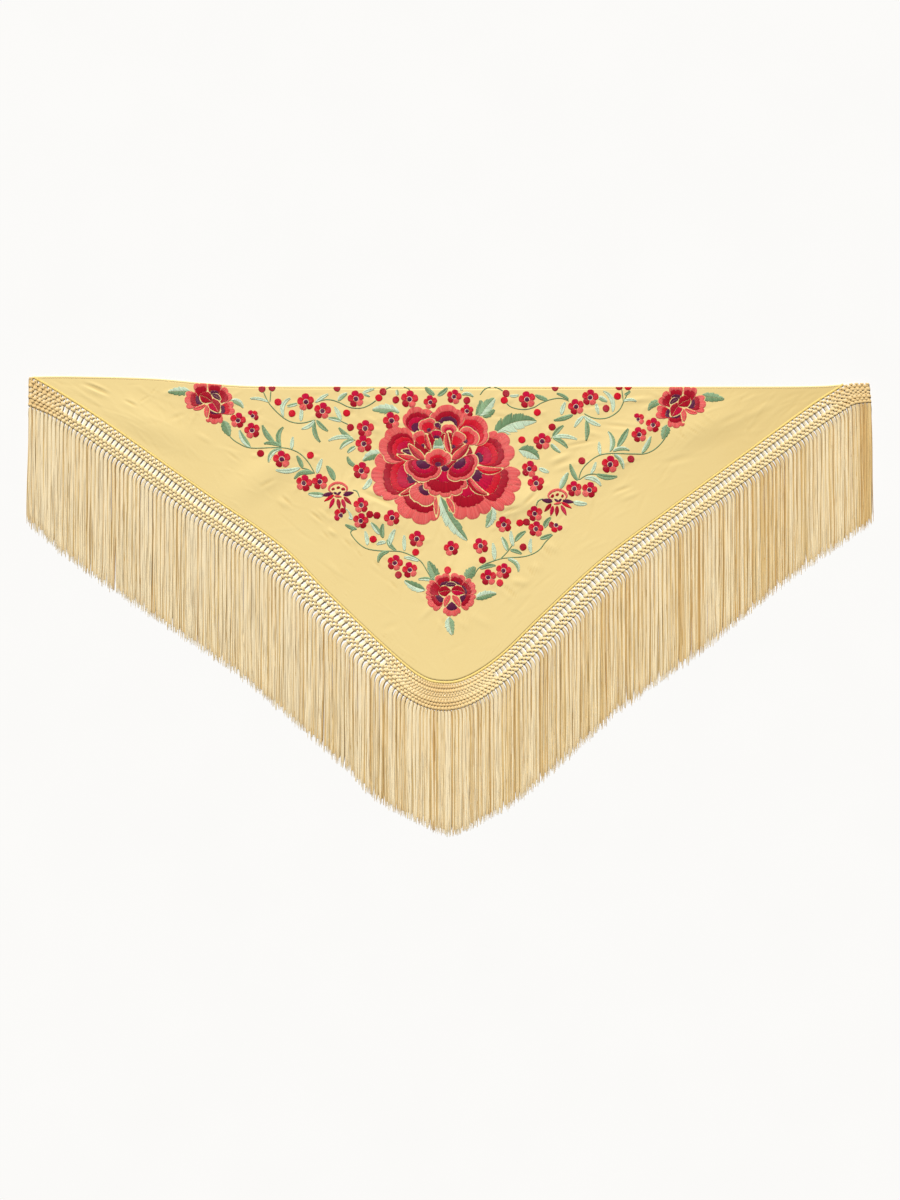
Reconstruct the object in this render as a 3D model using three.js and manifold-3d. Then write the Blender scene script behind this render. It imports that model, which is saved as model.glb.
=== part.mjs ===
// A flamenco shawl laid flat, face up: a triangle of crepe with rolled hems, a band of knotted
// net along its two sloping sides and a long silk fringe, one strand for each net column.
// Units are millimetres. +X runs along the straight top edge, +Y points to that edge, +Z is up,
// and z = 0 is the surface that the shawl lies on, with the origin under the middle of its box.

import * as THREE from "three";
import { mergeVertices } from "three/addons/utils/BufferGeometryUtils.js";
import Module from "manifold-3d";

const wasm = await Module();
wasm.setup();

// Driving dimensions
const SEAM_GAP = 0.3;
const CLOTH_THICKNESS = 1.2;
const SIDE_HEM_WIDTH = 5;
const TOP_HEM_WIDTH = 4;
const HEM_HEIGHT = 2.2;
const PANEL_ROWS = 10;
const NET_LEG_WIDTH = 3.2;
const NET_SMALLEST_GAP = 4;
const NET_GAP_FROM = 0.32;
const NET_GAP_TO = 0.62;
const STRIP_WIDTH = 3.2;
const STRIP_HEIGHT = 2.4;
const STRAND_WIDTH = 5.4;
const STRAND_HEIGHT = 2.8;
const STRAND_CLEARANCE = 0.4;
const STRAND_ROOT_SHARE = 0.6;
const STRAND_NECK_SHARE = 0.9;
const STRAND_TIP_SHARE = 0.6;
const STRAND_NECK = 9;
const STRAND_BEND_OUT = 10;
const STRAND_BEND_DOWN = 26;
const STRAND_SPREAD = 1.002;
const STRAND_UNEVENNESS = 1.5;
const STRAND_UNEVEN_TURN = 2.4;

// Net columns are numbered from the left corner, round the point, to the right corner.
const FIRST_COLUMN = 0;
const POINT_COLUMN = 101;
const LAST_COLUMN = 208;

// The band, station by station: where the net column at that number starts on the outer edge of
// the hem, and where it ends in its last knot.
const BAND = [
  { column: 0, hemX: -769.5, hemY: 418.5, footX: -770.4, footY: 363.5 },
  { column: 6, hemX: -716, hemY: 387.5, footX: -725.5, footY: 343.5 },
  { column: 15, hemX: -634, hemY: 334.5, footX: -657, footY: 299.5 },
  { column: 39, hemX: -452, hemY: 205.5, footX: -476, footY: 169.5 },
  { column: 57, hemX: -313, hemY: 108, footX: -339, footY: 75.5 },
  { column: 69, hemX: -222, hemY: 17, footX: -250, footY: -8 },
  { column: 82, hemX: -121, hemY: -79, footX: -150.5, footY: -107.5 },
  { column: 91, hemX: -61, hemY: -129, footX: -82, footY: -169.5 },
  { column: 101, hemX: -18.5, hemY: -144, footX: -19.5, footY: -194.5 },
  { column: 111, hemX: 29.5, hemY: -137, footX: 44, footY: -180.5 },
  { column: 121, hemX: 92, hemY: -97, footX: 116.5, footY: -127.5 },
  { column: 132, hemX: 171, hemY: -21, footX: 199.5, footY: -50 },
  { column: 146, hemX: 277, hemY: 77.5, footX: 304.5, footY: 48 },
  { column: 161, hemX: 395, hemY: 167, footX: 418, footY: 135.5 },
  { column: 179, hemX: 527.5, hemY: 265, footX: 552, footY: 234 },
  { column: 197, hemX: 663, hemY: 364, footX: 687, footY: 333 },
  { column: 202, hemX: 708, hemY: 393, footX: 724, footY: 357.5 },
  { column: 204.5, hemX: 731, hemY: 406, footX: 743, footY: 368 },
  { column: 208, hemX: 766, hemY: 407.5, footX: 769.5, footY: 371.5 },
];

// The straight edge of the cloth, from corner to corner.
const TOP_EDGE = [
  { x: -770, y: 419.5 },
  { x: -700, y: 420 },
  { x: -547, y: 416 },
  { x: -450, y: 407.5 },
  { x: -367, y: 402.3 },
  { x: -200, y: 401.3 },
  { x: 588, y: 401.3 },
  { x: 685, y: 402.6 },
  { x: 732, y: 406.5 },
];

// The lower outline of the combed fringe.
const FRINGE_END = [
  { x: -773, y: 149 },
  { x: -696, y: 82.5 },
  { x: -585, y: 4 },
  { x: -466, y: -75 },
  { x: -386, y: -131 },
  { x: -294, y: -209 },
  { x: -215, y: -279 },
  { x: -129, y: -362 },
  { x: -59, y: -398.5 },
  { x: 0, y: -422 },
  { x: 59, y: -398.5 },
  { x: 129, y: -356 },
  { x: 222, y: -275.5 },
  { x: 308, y: -197 },
  { x: 441, y: -101 },
  { x: 530, y: -31 },
  { x: 610, y: 36.5 },
  { x: 712, y: 107 },
  { x: 773, y: 150.5 },
];

// Soft ripples of the laid cloth: the middle of each, its direction in degrees, its half length,
// its half width and how far it lifts the cloth off the surface.
const RIPPLES = [
  { x: -545, y: 330, turn: -28, length: 120, width: 42, lift: 2.4 },
  { x: -330, y: 250, turn: 38, length: 130, width: 48, lift: 2.2 },
  { x: -150, y: 175, turn: -24, length: 110, width: 46, lift: 3.2 },
  { x: 125, y: 190, turn: 12, length: 120, width: 44, lift: 3 },
  { x: 300, y: 280, turn: 40, length: 150, width: 50, lift: 2.4 },
  { x: 470, y: 330, turn: 24, length: 130, width: 46, lift: 2.2 },
  { x: 30, y: 60, turn: 52, length: 110, width: 44, lift: 2 },
];

// The net's relief across the band, from the hem to the last knots: the share of a column's
// length and the height there. Ridges are the rows of knots.
const NET_RELIEF = [
  { share: 0, height: 1.4 },
  { share: 0.1, height: 2.4 },
  { share: 0.19, height: 1.6 },
  { share: 0.28, height: 2.6 },
  { share: NET_GAP_FROM, height: 1.8 },
  { share: NET_GAP_TO, height: 1.8 },
  { share: 0.68, height: 2.6 },
  { share: 0.8, height: 1.6 },
  { share: 0.9, height: 2.4 },
  { share: 1, height: 1.6 },
];

// A rolled hem's section: the share of its width, from the cloth outwards, and its height.
const HEM_RELIEF = [
  { share: 0, height: CLOTH_THICKNESS },
  { share: 0.3, height: HEM_HEIGHT },
  { share: 0.75, height: HEM_HEIGHT },
  { share: 1, height: CLOTH_THICKNESS },
];

// Where each strip starts and stops, so that the corners of the pieces stay apart, and how far
// apart its sections are, in net columns.
const SIDE_HEM_FROM = 2.2;
const SIDE_HEM_TO = 202.4;
const PANEL_FROM = 2.9;
const PANEL_TO = 201.4;
const TOP_HEM_FROM = -752;
const TOP_HEM_TO = 709;
const SIDE_STEP = 5;
const TURN_STEP = 2;
const TURNS = [{ from: 88, to: 122 }, { from: 197, to: 208 }];
const TOP_STRAIGHT = { from: -150, to: 550 };

const CLOTH_COLOUR = 0xf0d996;
const HEM_COLOUR = 0xfadd88;
const NET_COLOUR = 0xf3e0a4;
const FRINGE_COLOUR = 0xf2dcaa;
const CREPE_ROUGHNESS = 0.7;
const HEM_ROUGHNESS = 0.6;
const SILK_ROUGHNESS = 0.5;

// The value of a column of a table at a key, on a smooth curve through its rows.
function smooth(rows, key, field, at) {
  const last = rows.length - 2;
  let i = 0;
  while (i < last && rows[i + 1][key] < at) i += 1;
  const slope = (j) => {
    const a = rows[Math.max(j - 1, 0)];
    const b = rows[Math.min(j + 1, rows.length - 1)];
    return (b[field] - a[field]) / (b[key] - a[key]);
  };
  const span = rows[i + 1][key] - rows[i][key];
  const t = (at - rows[i][key]) / span;
  const start = (1 + 2 * t) * (1 - t) ** 2 * rows[i][field] + t * (1 - t) ** 2 * span * slope(i);
  const end = t * t * (3 - 2 * t) * rows[i + 1][field] + t * t * (t - 1) * span * slope(i + 1);
  return start + end;
}

function hemPoint(column) {
  return new THREE.Vector2(smooth(BAND, "column", "hemX", column), smooth(BAND, "column", "hemY", column));
}

function footPoint(column) {
  return new THREE.Vector2(smooth(BAND, "column", "footX", column), smooth(BAND, "column", "footY", column));
}

function columnDirection(column) {
  return footPoint(column).sub(hemPoint(column)).normalize();
}

// A point that lies inwards of the hem's outer edge, at right angles to it.
function insideHem(column, distance) {
  const along = hemPoint(column + 0.5).sub(hemPoint(column - 0.5)).normalize();
  return hemPoint(column).add(new THREE.Vector2(-along.y, along.x).multiplyScalar(distance));
}

function topEdgeY(x) {
  return smooth(TOP_EDGE, "x", "y", x);
}

function bump(distance) {
  return Math.abs(distance) < 1 ? Math.cos((distance * Math.PI) / 2) ** 2 : 0;
}

// How far the ripples lift the cloth at a point.
function rippleLift(x, y) {
  let lift = 0;
  for (const ripple of RIPPLES) {
    const turn = THREE.MathUtils.degToRad(ripple.turn);
    const dx = x - ripple.x;
    const dy = y - ripple.y;
    const along = (dx * Math.cos(turn) + dy * Math.sin(turn)) / ripple.length;
    const across = (dy * Math.cos(turn) - dx * Math.sin(turn)) / ripple.width;
    lift += ripple.lift * bump(along) * bump(across);
  }
  return lift;
}

// The net columns at which every piece between two columns has a section, closer where the line
// turns, so that neighbours follow the same line.
function stationsBetween(from, to) {
  const stations = [from];
  let column = FIRST_COLUMN;
  while (column < to) {
    if (column > from) stations.push(column);
    const inTurn = TURNS.some((turn) => column >= turn.from && column < turn.to);
    column += inTurn ? TURN_STEP : SIDE_STEP;
  }
  stations.push(to);
  return stations;
}

function bodyFrom(points, faces) {
  const geometry = new THREE.BufferGeometry();
  const numbers = points.flatMap((point) => point.toArray());
  geometry.setAttribute("position", new THREE.Float32BufferAttribute(numbers, 3));
  geometry.setIndex(faces.flat());
  return facingOut(geometry);
}

// Turns a closed body's faces outwards where they were made inside out.
function facingOut(geometry) {
  const at = geometry.attributes.position;
  const index = geometry.index.array;
  const [a, b, c] = [new THREE.Vector3(), new THREE.Vector3(), new THREE.Vector3()];
  let volume = 0;
  for (let i = 0; i < index.length; i += 3) {
    a.fromBufferAttribute(at, index[i]);
    b.fromBufferAttribute(at, index[i + 1]);
    c.fromBufferAttribute(at, index[i + 2]);
    volume += a.dot(b.cross(c));
  }
  if (volume < 0) geometry.setIndex(Array.from(index).reverse());
  return geometry;
}

// A closed body through rings of points, its end rings filled. The profile is a ring's own flat
// outline, which the two end faces are cut from.
function loft(rings, profile) {
  const n = profile.length;
  const faces = [];
  for (let r = 0; r + 1 < rings.length; r += 1) {
    for (let k = 0; k < n; k += 1) {
      const [a, b] = [r * n + k, r * n + ((k + 1) % n)];
      faces.push([a, b, b + n], [a, b + n, a + n]);
    }
  }
  const end = (rings.length - 1) * n;
  const turns = THREE.ShapeUtils.isClockWise(profile);
  for (const face of THREE.ShapeUtils.triangulateShape(profile, [])) {
    const sameTurn = THREE.ShapeUtils.isClockWise(face.map((k) => profile[k])) === turns;
    const [a, b, c] = sameTurn ? face : [face[2], face[1], face[0]];
    faces.push([c, b, a], [end + a, end + b, end + c]);
  }
  return bodyFrom(rings.flat(), faces);
}

// A strip with a flat underside and a relief on top, from an inner to an outer line.
function reliefStrip(stations, innerLine, outerLine, relief) {
  const profile = relief.map((row) => new THREE.Vector2(row.share, row.height));
  profile.push(new THREE.Vector2(1, 0), new THREE.Vector2(0, 0));
  const rings = stations.map((station) => {
    const inner = innerLine(station);
    const outer = outerLine(station);
    return profile.map(({ x: share, y: height }) => {
      const place = inner.clone().lerp(outer, share);
      return new THREE.Vector3(place.x, place.y, height);
    });
  });
  return loft(rings, profile);
}

// The panel's lower edge, along the inside of the two side hems.
function panelLowLine() {
  return stationsBetween(PANEL_FROM, PANEL_TO).map((column) => insideHem(column, SIDE_HEM_WIDTH + SEAM_GAP));
}

// The crepe triangle: an even wall that follows the ripples, flat on the surface elsewhere.
function panelGeometry() {
  const points = [];
  const faces = [];
  const lowLine = panelLowLine();
  const lastColumn = lowLine.length - 1;
  const width = PANEL_ROWS + 1;
  const layer = lowLine.length * width;
  for (const height of [CLOTH_THICKNESS, 0]) {
    for (const [i, low] of lowLine.entries()) {
      const high = topEdgeY(low.x) - TOP_HEM_WIDTH - SEAM_GAP;
      for (let j = 0; j <= PANEL_ROWS; j += 1) {
        const y = THREE.MathUtils.lerp(low.y, high, j / PANEL_ROWS);
        const edge = i === 0 || j === 0 || i === lastColumn || j === PANEL_ROWS;
        points.push(new THREE.Vector3(low.x, y, height + (edge ? 0 : rippleLift(low.x, y))));
      }
    }
  }
  const at = (i, j) => i * width + j;
  const wall = (a, b) => faces.push([a, a + layer, b + layer], [a, b + layer, b]);
  for (let i = 0; i < lastColumn; i += 1) {
    for (let j = 0; j < PANEL_ROWS; j += 1) {
      const [a, b, c, d] = [at(i, j), at(i + 1, j), at(i + 1, j + 1), at(i, j + 1)];
      faces.push([a, b, c], [a, c, d]);
      faces.push([c + layer, b + layer, a + layer], [d + layer, c + layer, a + layer]);
    }
    wall(at(i, 0), at(i + 1, 0));
    wall(at(i + 1, PANEL_ROWS), at(i, PANEL_ROWS));
  }
  for (let j = 0; j < PANEL_ROWS; j += 1) {
    wall(at(0, j + 1), at(0, j));
    wall(at(lastColumn, j), at(lastColumn, j + 1));
  }
  return bodyFrom(points, faces);
}

function topHemGeometry() {
  const inner = (x) => new THREE.Vector2(x, topEdgeY(x) - TOP_HEM_WIDTH);
  const outer = (x) => new THREE.Vector2(x, topEdgeY(x));
  const turning = (x) => x < TOP_STRAIGHT.from || x > TOP_STRAIGHT.to;
  const between = panelLowLine().map((low) => low.x).filter(turning);
  return reliefStrip([TOP_HEM_FROM, ...between, TOP_HEM_TO], inner, outer, HEM_RELIEF);
}

function sideHemGeometry(from, to) {
  const inner = (column) => insideHem(column, SIDE_HEM_WIDTH);
  return reliefStrip(stationsBetween(from, to), inner, hemPoint, HEM_RELIEF);
}

function solid(geometry) {
  const bare = geometry.clone();
  bare.deleteAttribute("normal");
  bare.deleteAttribute("uv");
  const merged = mergeVertices(bare, 1e-4);
  const vertProperties = new Float32Array(merged.attributes.position.array);
  const triVerts = new Uint32Array(merged.index.array);
  return new wasm.Manifold(new wasm.Mesh({ numProp: 3, vertProperties, triVerts }));
}

function geometryOf(manifold) {
  const mesh = manifold.getMesh();
  const geometry = new THREE.BufferGeometry();
  geometry.setAttribute("position", new THREE.Float32BufferAttribute(mesh.vertProperties, 3));
  geometry.setIndex(Array.from(mesh.triVerts));
  return geometry;
}

// The place at a share of a net column's length.
function netPoint(column, share) {
  const start = hemPoint(column).addScaledVector(columnDirection(column), SEAM_GAP);
  return start.lerp(footPoint(column), share);
}

// The long gap between a net column and the next one, as a prism through the band, or nothing
// where the columns bunch and leave less than the smallest gap.
function netGap(column) {
  const middle = (NET_GAP_FROM + NET_GAP_TO) / 2;
  const pitch = netPoint(column, middle).distanceTo(netPoint(column + 1, middle));
  if (pitch - NET_LEG_WIDTH < NET_SMALLEST_GAP) return null;
  const leg = NET_LEG_WIDTH / 2 / pitch;
  const outline = [
    netPoint(column + leg, NET_GAP_FROM),
    netPoint(column + 1 - leg, NET_GAP_FROM),
    netPoint(column + 1 - leg, NET_GAP_TO),
    netPoint(column + leg, NET_GAP_TO),
  ];
  const rings = [-1, STRIP_HEIGHT + 1].map((z) => outline.map((p) => new THREE.Vector3(p.x, p.y, z)));
  return loft(rings, outline);
}

// One side of the net band, ridged along its knots, its long gaps cut through.
function netGeometry(from, to) {
  const start = (column) => netPoint(column, 0);
  let net = solid(reliefStrip(stationsBetween(from, to), start, footPoint, NET_RELIEF));
  for (let column = Math.ceil(from); column + 1 <= to; column += 1) {
    const gap = netGap(column);
    if (gap) net = net.subtract(solid(gap));
  }
  return geometryOf(net);
}

// One ring of a strand: three sides, lying on its flat side just clear of the surface.
function strandRing(place, across, share) {
  const side = across.clone().multiplyScalar((STRAND_WIDTH * share) / 2);
  return [
    new THREE.Vector3(place.x - side.x, place.y - side.y, STRAND_CLEARANCE),
    new THREE.Vector3(place.x + side.x, place.y + side.y, STRAND_CLEARANCE),
    new THREE.Vector3(place.x, place.y, STRAND_CLEARANCE + STRAND_HEIGHT * share),
  ];
}

// A strand leaves its column's last knot in the column's own direction, bends round and hangs
// straight down the page to the fringe's lower outline.
function strandGeometry(column) {
  const foot = footPoint(column);
  const direction = columnDirection(column);
  const across = new THREE.Vector2(-direction.y, direction.x);
  const straight = new THREE.Vector2(1, 0);
  const root = foot.clone().addScaledVector(direction, SEAM_GAP + STRIP_WIDTH / 2);
  const neck = foot.clone().addScaledVector(direction, STRAND_NECK);
  const bend = new THREE.Vector2(foot.x + direction.x * STRAND_BEND_OUT, foot.y - STRAND_BEND_DOWN);
  const endX = bend.x * STRAND_SPREAD;
  const uneven = STRAND_UNEVENNESS * Math.sin(column * STRAND_UNEVEN_TURN);
  const endY = smooth(FRINGE_END, "x", "y", endX) + uneven;
  const rings = [
    strandRing(root, across, STRAND_ROOT_SHARE),
    strandRing(neck, across.clone().add(straight).normalize(), STRAND_NECK_SHARE),
    strandRing(bend, straight, 1),
    strandRing(new THREE.Vector2(endX, endY), straight, STRAND_TIP_SHARE),
  ];
  return loft(rings, rings[0].map((p) => new THREE.Vector2(p.x, p.y + p.z)));
}

// The strip of last knots along one side, with every strand of that side fused into it.
function fringeGeometry(from, to) {
  const inner = (column) => footPoint(column).addScaledVector(columnDirection(column), SEAM_GAP);
  const outer = (column) => inner(column).addScaledVector(columnDirection(column), STRIP_WIDTH);
  const relief = [{ share: 0, height: STRIP_HEIGHT }, { share: 1, height: STRIP_HEIGHT }];
  let fringe = solid(reliefStrip(stationsBetween(from, to), inner, outer, relief));
  for (let column = Math.ceil(from); column <= to; column += 1) {
    fringe = fringe.add(solid(strandGeometry(column)));
  }
  return geometryOf(fringe);
}

function addPiece(group, name, geometry, color, roughness) {
  const material = new THREE.MeshStandardMaterial({ color, roughness, metalness: 0 });
  const mesh = new THREE.Mesh(geometry, material);
  mesh.name = name;
  group.add(mesh);
}

const shawl = new THREE.Group();
const leftEnd = POINT_COLUMN + 0.47;
const rightStart = POINT_COLUMN + 0.53;
addPiece(shawl, "cloth_panel", panelGeometry(), CLOTH_COLOUR, CREPE_ROUGHNESS);
addPiece(shawl, "top_hem", topHemGeometry(), HEM_COLOUR, HEM_ROUGHNESS);
addPiece(shawl, "hem_left", sideHemGeometry(SIDE_HEM_FROM, leftEnd), HEM_COLOUR, HEM_ROUGHNESS);
addPiece(shawl, "hem_right", sideHemGeometry(rightStart, SIDE_HEM_TO), HEM_COLOUR, HEM_ROUGHNESS);
addPiece(shawl, "net_left", netGeometry(FIRST_COLUMN, leftEnd), NET_COLOUR, SILK_ROUGHNESS);
addPiece(shawl, "net_right", netGeometry(rightStart, LAST_COLUMN), NET_COLOUR, SILK_ROUGHNESS);
addPiece(shawl, "fringe_left", fringeGeometry(FIRST_COLUMN, leftEnd), FRINGE_COLOUR, SILK_ROUGHNESS);
addPiece(shawl, "fringe_right", fringeGeometry(rightStart, LAST_COLUMN), FRINGE_COLOUR, SILK_ROUGHNESS);

// The origin goes under the middle of the whole shawl.
const box = new THREE.Box3().setFromObject(shawl, true);
const middle = box.getCenter(new THREE.Vector3());
shawl.position.set(-middle.x, -middle.y, 0);

export default shawl;
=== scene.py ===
"""The dressed model of a flamenco shawl that lies flat, face up.

Sizes are in millimetres in the part's own layout: +X along the straight top edge, +Y towards
that edge, z = 0 on the surface below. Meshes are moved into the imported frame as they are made.
The embroidery and the creases are placed by pixels of the photograph in its 900 x 1200 frame,
which are counted from the left and downwards.
"""

import math

import bpy
import numpy as np
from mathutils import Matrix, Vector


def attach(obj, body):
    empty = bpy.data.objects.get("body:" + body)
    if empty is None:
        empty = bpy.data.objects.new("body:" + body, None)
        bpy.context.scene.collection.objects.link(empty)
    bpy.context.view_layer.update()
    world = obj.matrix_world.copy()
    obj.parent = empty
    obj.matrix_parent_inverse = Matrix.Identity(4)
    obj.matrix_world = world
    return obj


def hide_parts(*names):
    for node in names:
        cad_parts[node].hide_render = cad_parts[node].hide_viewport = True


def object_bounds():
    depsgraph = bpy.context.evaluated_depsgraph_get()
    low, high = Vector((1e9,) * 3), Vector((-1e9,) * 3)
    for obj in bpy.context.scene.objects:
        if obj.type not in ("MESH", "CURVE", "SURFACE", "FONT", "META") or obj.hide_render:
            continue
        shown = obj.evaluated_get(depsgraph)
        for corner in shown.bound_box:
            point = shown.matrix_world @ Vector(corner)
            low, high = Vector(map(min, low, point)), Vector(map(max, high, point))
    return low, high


bl_info = {
    "name": "Flamenco shawl",
    "version": (1, 0, 0),
    "blender": (4, 5, 0),
    "location": "View3D > Sidebar > Shawl",
    "description": "Makes an embroidered shawl with a knotted net and a silk fringe",
    "category": "Add Mesh",
}

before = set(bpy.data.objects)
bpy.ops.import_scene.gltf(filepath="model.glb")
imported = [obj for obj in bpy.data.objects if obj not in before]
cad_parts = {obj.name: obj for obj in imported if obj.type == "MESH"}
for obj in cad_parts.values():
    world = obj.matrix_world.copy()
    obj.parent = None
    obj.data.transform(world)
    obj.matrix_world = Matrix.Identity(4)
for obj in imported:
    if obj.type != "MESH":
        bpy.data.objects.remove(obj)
CAD_LOW, CAD_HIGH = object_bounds()

# Where the layout's lowest corner is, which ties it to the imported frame.
LAYOUT_LOW = (-773.72, -423.48)
SHIFT = np.array([CAD_LOW.x * 1000 - LAYOUT_LOW[0], CAD_LOW.y * 1000 - LAYOUT_LOW[1], 0.0])

# Sizes shared with the solids.
SEAM_GAP = 0.3
SIDE_HEM_WIDTH = 5.0
TOP_HEM_WIDTH = 4.0
FIRST_COLUMN = 0
POINT_COLUMN = 101
LAST_COLUMN = 208
SIDE_HEM_FROM = 0.5
SIDE_HEM_TO = 203.6
PANEL_FROM = 0.5
PANEL_TO = 202.7
TOP_HEM_FROM = -768.0
TOP_HEM_TO = 719.0
STRAND_BEND_OUT = 10.0
STRAND_BEND_DOWN = 26.0
STRAND_SPREAD = 1.002

# Net column; its start on the hem, x and y; its last knot, x and y.
BAND = np.array([
    (0, -769.5, 418.5, -770.4, 363.5),
    (6, -716, 387.5, -725.5, 343.5),
    (15, -634, 334.5, -657, 299.5),
    (39, -452, 205.5, -476, 169.5),
    (57, -313, 108, -339, 75.5),
    (69, -222, 17, -250, -8),
    (82, -121, -79, -150.5, -107.5),
    (91, -61, -129, -82, -169.5),
    (101, -18.5, -144, -19.5, -194.5),
    (111, 29.5, -137, 44, -180.5),
    (121, 92, -97, 116.5, -127.5),
    (132, 171, -21, 199.5, -50),
    (146, 277, 77.5, 304.5, 48),
    (161, 395, 167, 418, 135.5),
    (179, 527.5, 265, 552, 234),
    (197, 663, 364, 687, 333),
    (202, 708, 393, 724, 357.5),
    (204.5, 731, 406, 743, 368),
    (208, 766, 407.5, 769.5, 371.5),
], float)

# The straight edge of the cloth: x, y.
TOP_EDGE = np.array([
    (-770, 419.5), (-700, 420), (-547, 416), (-450, 407.5), (-367, 402.3), (-200, 401.3),
    (588, 401.3), (685, 402.6), (732, 406.5),
], float)

# The lower outline of the fringe: x, y.
FRINGE_END = np.array([
    (-773, 149), (-696, 82.5), (-585, 4), (-466, -75), (-386, -131), (-294, -209),
    (-215, -279), (-129, -362), (-59, -398.5), (0, -422), (59, -398.5), (129, -356),
    (222, -275.5), (308, -197), (441, -101), (530, -31), (610, 36.5), (712, 107), (773, 150.5),
], float)

# Ripples of the laid cloth: x, y, direction in degrees, half length, half width, lift.
RIPPLES = [
    (-545, 330, -28, 120, 42, 2.4),
    (-330, 250, 38, 130, 48, 2.2),
    (-150, 175, -24, 110, 46, 3.2),
    (125, 190, 12, 120, 44, 3.0),
    (300, 280, 40, 150, 50, 2.4),
    (470, 330, 24, 130, 46, 2.2),
    (30, 60, 52, 110, 44, 2.0),
]

# The photograph's scale in mm to a pixel, the pixel that is over the layout's origin, its height
# in pixels and its middle.
MM_PER_PIXEL = 1.8365
ORIGIN_PIXEL_X = 450.0
ORIGIN_PIXEL_Y = 605.0
PHOTO_HEIGHT = 1200
PHOTO_MIDDLE = (450, 600)

# How far the cloth runs in under its rolled hems.
HEM_LAP = 0.6

# How near to the top edge the embroidery runs, and the cloth left bare between petals.
EDGE_MARGIN = 0.8
PETAL_GAP = 1.5

# Creases and puckers: from pixel x, y to pixel x, y, half width in mm, height in mm.
CREASES = [
    (381, 640, 388, 632, 2.4, -0.45), (387, 647, 394, 638, 2.4, -0.5),
    (393, 652, 400, 645, 2.2, -0.45), (399, 659, 407, 651, 2.4, -0.5),
    (408, 666, 414, 657, 2.2, -0.4), (489, 663, 482, 654, 2.4, -0.5),
    (496, 657, 489, 648, 2.2, -0.5), (504, 651, 496, 641, 2.4, -0.45),
    (330, 583, 338, 576, 2.2, -0.35), (344, 598, 351, 589, 2.2, -0.35),
    (560, 590, 552, 582, 2.2, -0.35), (583, 571, 575, 562, 2.2, -0.35),
    (82, 382, 110, 395, 6.5, -1.6),
    (124, 399.5, 138, 407, 5, -0.7),
    (137, 403.5, 150, 395, 3.5, -0.45),
    (149, 396, 157, 386, 3.5, -0.4),
    (160, 395, 176, 390, 8, 0.3),
    (168, 420, 186, 413, 7, -0.35),
    (196, 432, 214, 444, 8, 0.35),
    (228, 452, 240, 462, 6, -0.4),
    (258, 488, 276, 478, 6, -0.6),
    (282, 495, 293, 507, 5, -0.7),
    (277, 498, 288, 509, 6, 0.4),
    (310, 511, 324, 523, 5, -0.9),
    (317, 508, 331, 520, 6, 0.5),
    (328, 528, 337, 536, 6, 0.8),
    (322, 530, 330, 540, 5, -0.5),
    (344, 538, 352, 548, 5, -0.7),
    (350, 536, 358, 545, 5, 0.5),
    (357, 549, 362, 558, 4, -0.6),
    (374, 560, 381, 569, 5, -0.7),
    (390, 580, 398, 590, 5, -0.6),
    (362, 491.5, 396, 506.5, 6.5, -1.4),
    (360, 485, 392, 498, 8, 0.6),
    (505, 485.6, 523, 485.6, 4, -1.3),
    (498, 513, 522, 507, 6, -1.2),
    (490, 414, 512, 419, 6, -0.9),
    (522, 506, 537, 492, 6, -0.9),
    (529, 510, 543, 497, 7, 0.5),
    (541, 544, 553, 557, 6, -1.1),
    (548, 541, 560, 553, 7, 0.6),
    (527, 566, 536, 577, 6, -0.9),
    (533, 562, 542, 572, 6, 0.6),
    (503, 585, 518, 598, 6.5, -1.4),
    (510, 579, 530, 584, 9, 0.9),
    (548, 463, 572, 453, 9, 0.8),
    (552, 471, 580, 461, 8, 0.5),
    (562, 447, 597, 440, 5, -0.8),
    (572, 409, 618, 403, 5, -0.5),
    (618, 401, 655, 398, 8, 0.6),
    (600, 424, 640, 428, 6, -0.6),
    (585, 431, 604, 436, 7, 0.5),
    (612, 493, 632, 486, 6, -0.6),
    (618, 500, 640, 492, 8, 0.35),
    (660, 464, 696, 455, 10, -0.35),
    (686, 426, 702, 436, 4, -0.5),
    (694, 421, 708, 431, 4, 0.35),
    (676, 431, 690, 441, 4, -0.35),
    (716, 426, 745, 412, 9, -0.3),
    (740, 420, 775, 402, 10, 0.3),
    (420, 588, 428, 598, 6, -0.7),
    (440, 616, 448, 628, 7, -0.7),
    (458, 618, 470, 630, 7, 0.4),
    (380, 630, 400, 622, 10, -0.25),
    (468, 612, 496, 628, 12, 0.3),
    (326, 560, 345, 580, 10, 0.3),
    (402, 402, 420, 409, 6, 0.6),
    (366, 416, 380, 424, 6, 0.7),
    (384, 428, 398, 420, 6, -0.8),
    (300, 388, 336, 392, 9, 0.4),
]

# How much deeper a crease is pressed than its table says and its half length as a share of its
# run, with the height, length and width of the soft shoulders beside it, and the lowest that a
# hollow goes.
CREASE_DEPTH = 1.7
CREASE_HALF = 0.62
SHOULDER_HEIGHT = 0.9
SHOULDER_LENGTH = 1.1
SHOULDER_WIDTH = 2.3
LOWEST_HOLLOW = 0.68

# How much painted shade darkens the cloth by each mm of hollow, how far round a point that is
# judged and within which limits, and how red, green and blue share in this painted shade.
HOLLOW_PAINTED_SHADE = 0.24
HOLLOW_REACH = 4.5
HOLLOW_LIMITS = (-0.02, 0.16)
PAINTED_SHADE_HUE = (0.75, 1.0, 1.5)

# How much painted shade darkens the cloth toward its right end, from which x and over what length.
END_PAINTED_SHADE = 0.135
END_FROM = 260
END_LENGTH = 400

# How many faint wrinkles lie all over the cloth, their greatest height, the x that they keep
# between, their half lengths and half widths, and the lean that they share with the nearer slope.
WRINKLES = 620
WRINKLE_LIFT = 0.2
WRINKLE_SPAN = (-760, 700)
WRINKLE_LENGTHS = (14, 60)
WRINKLE_WIDTHS = (3, 7)
WRINKLE_LEAN = 0.66

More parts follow.
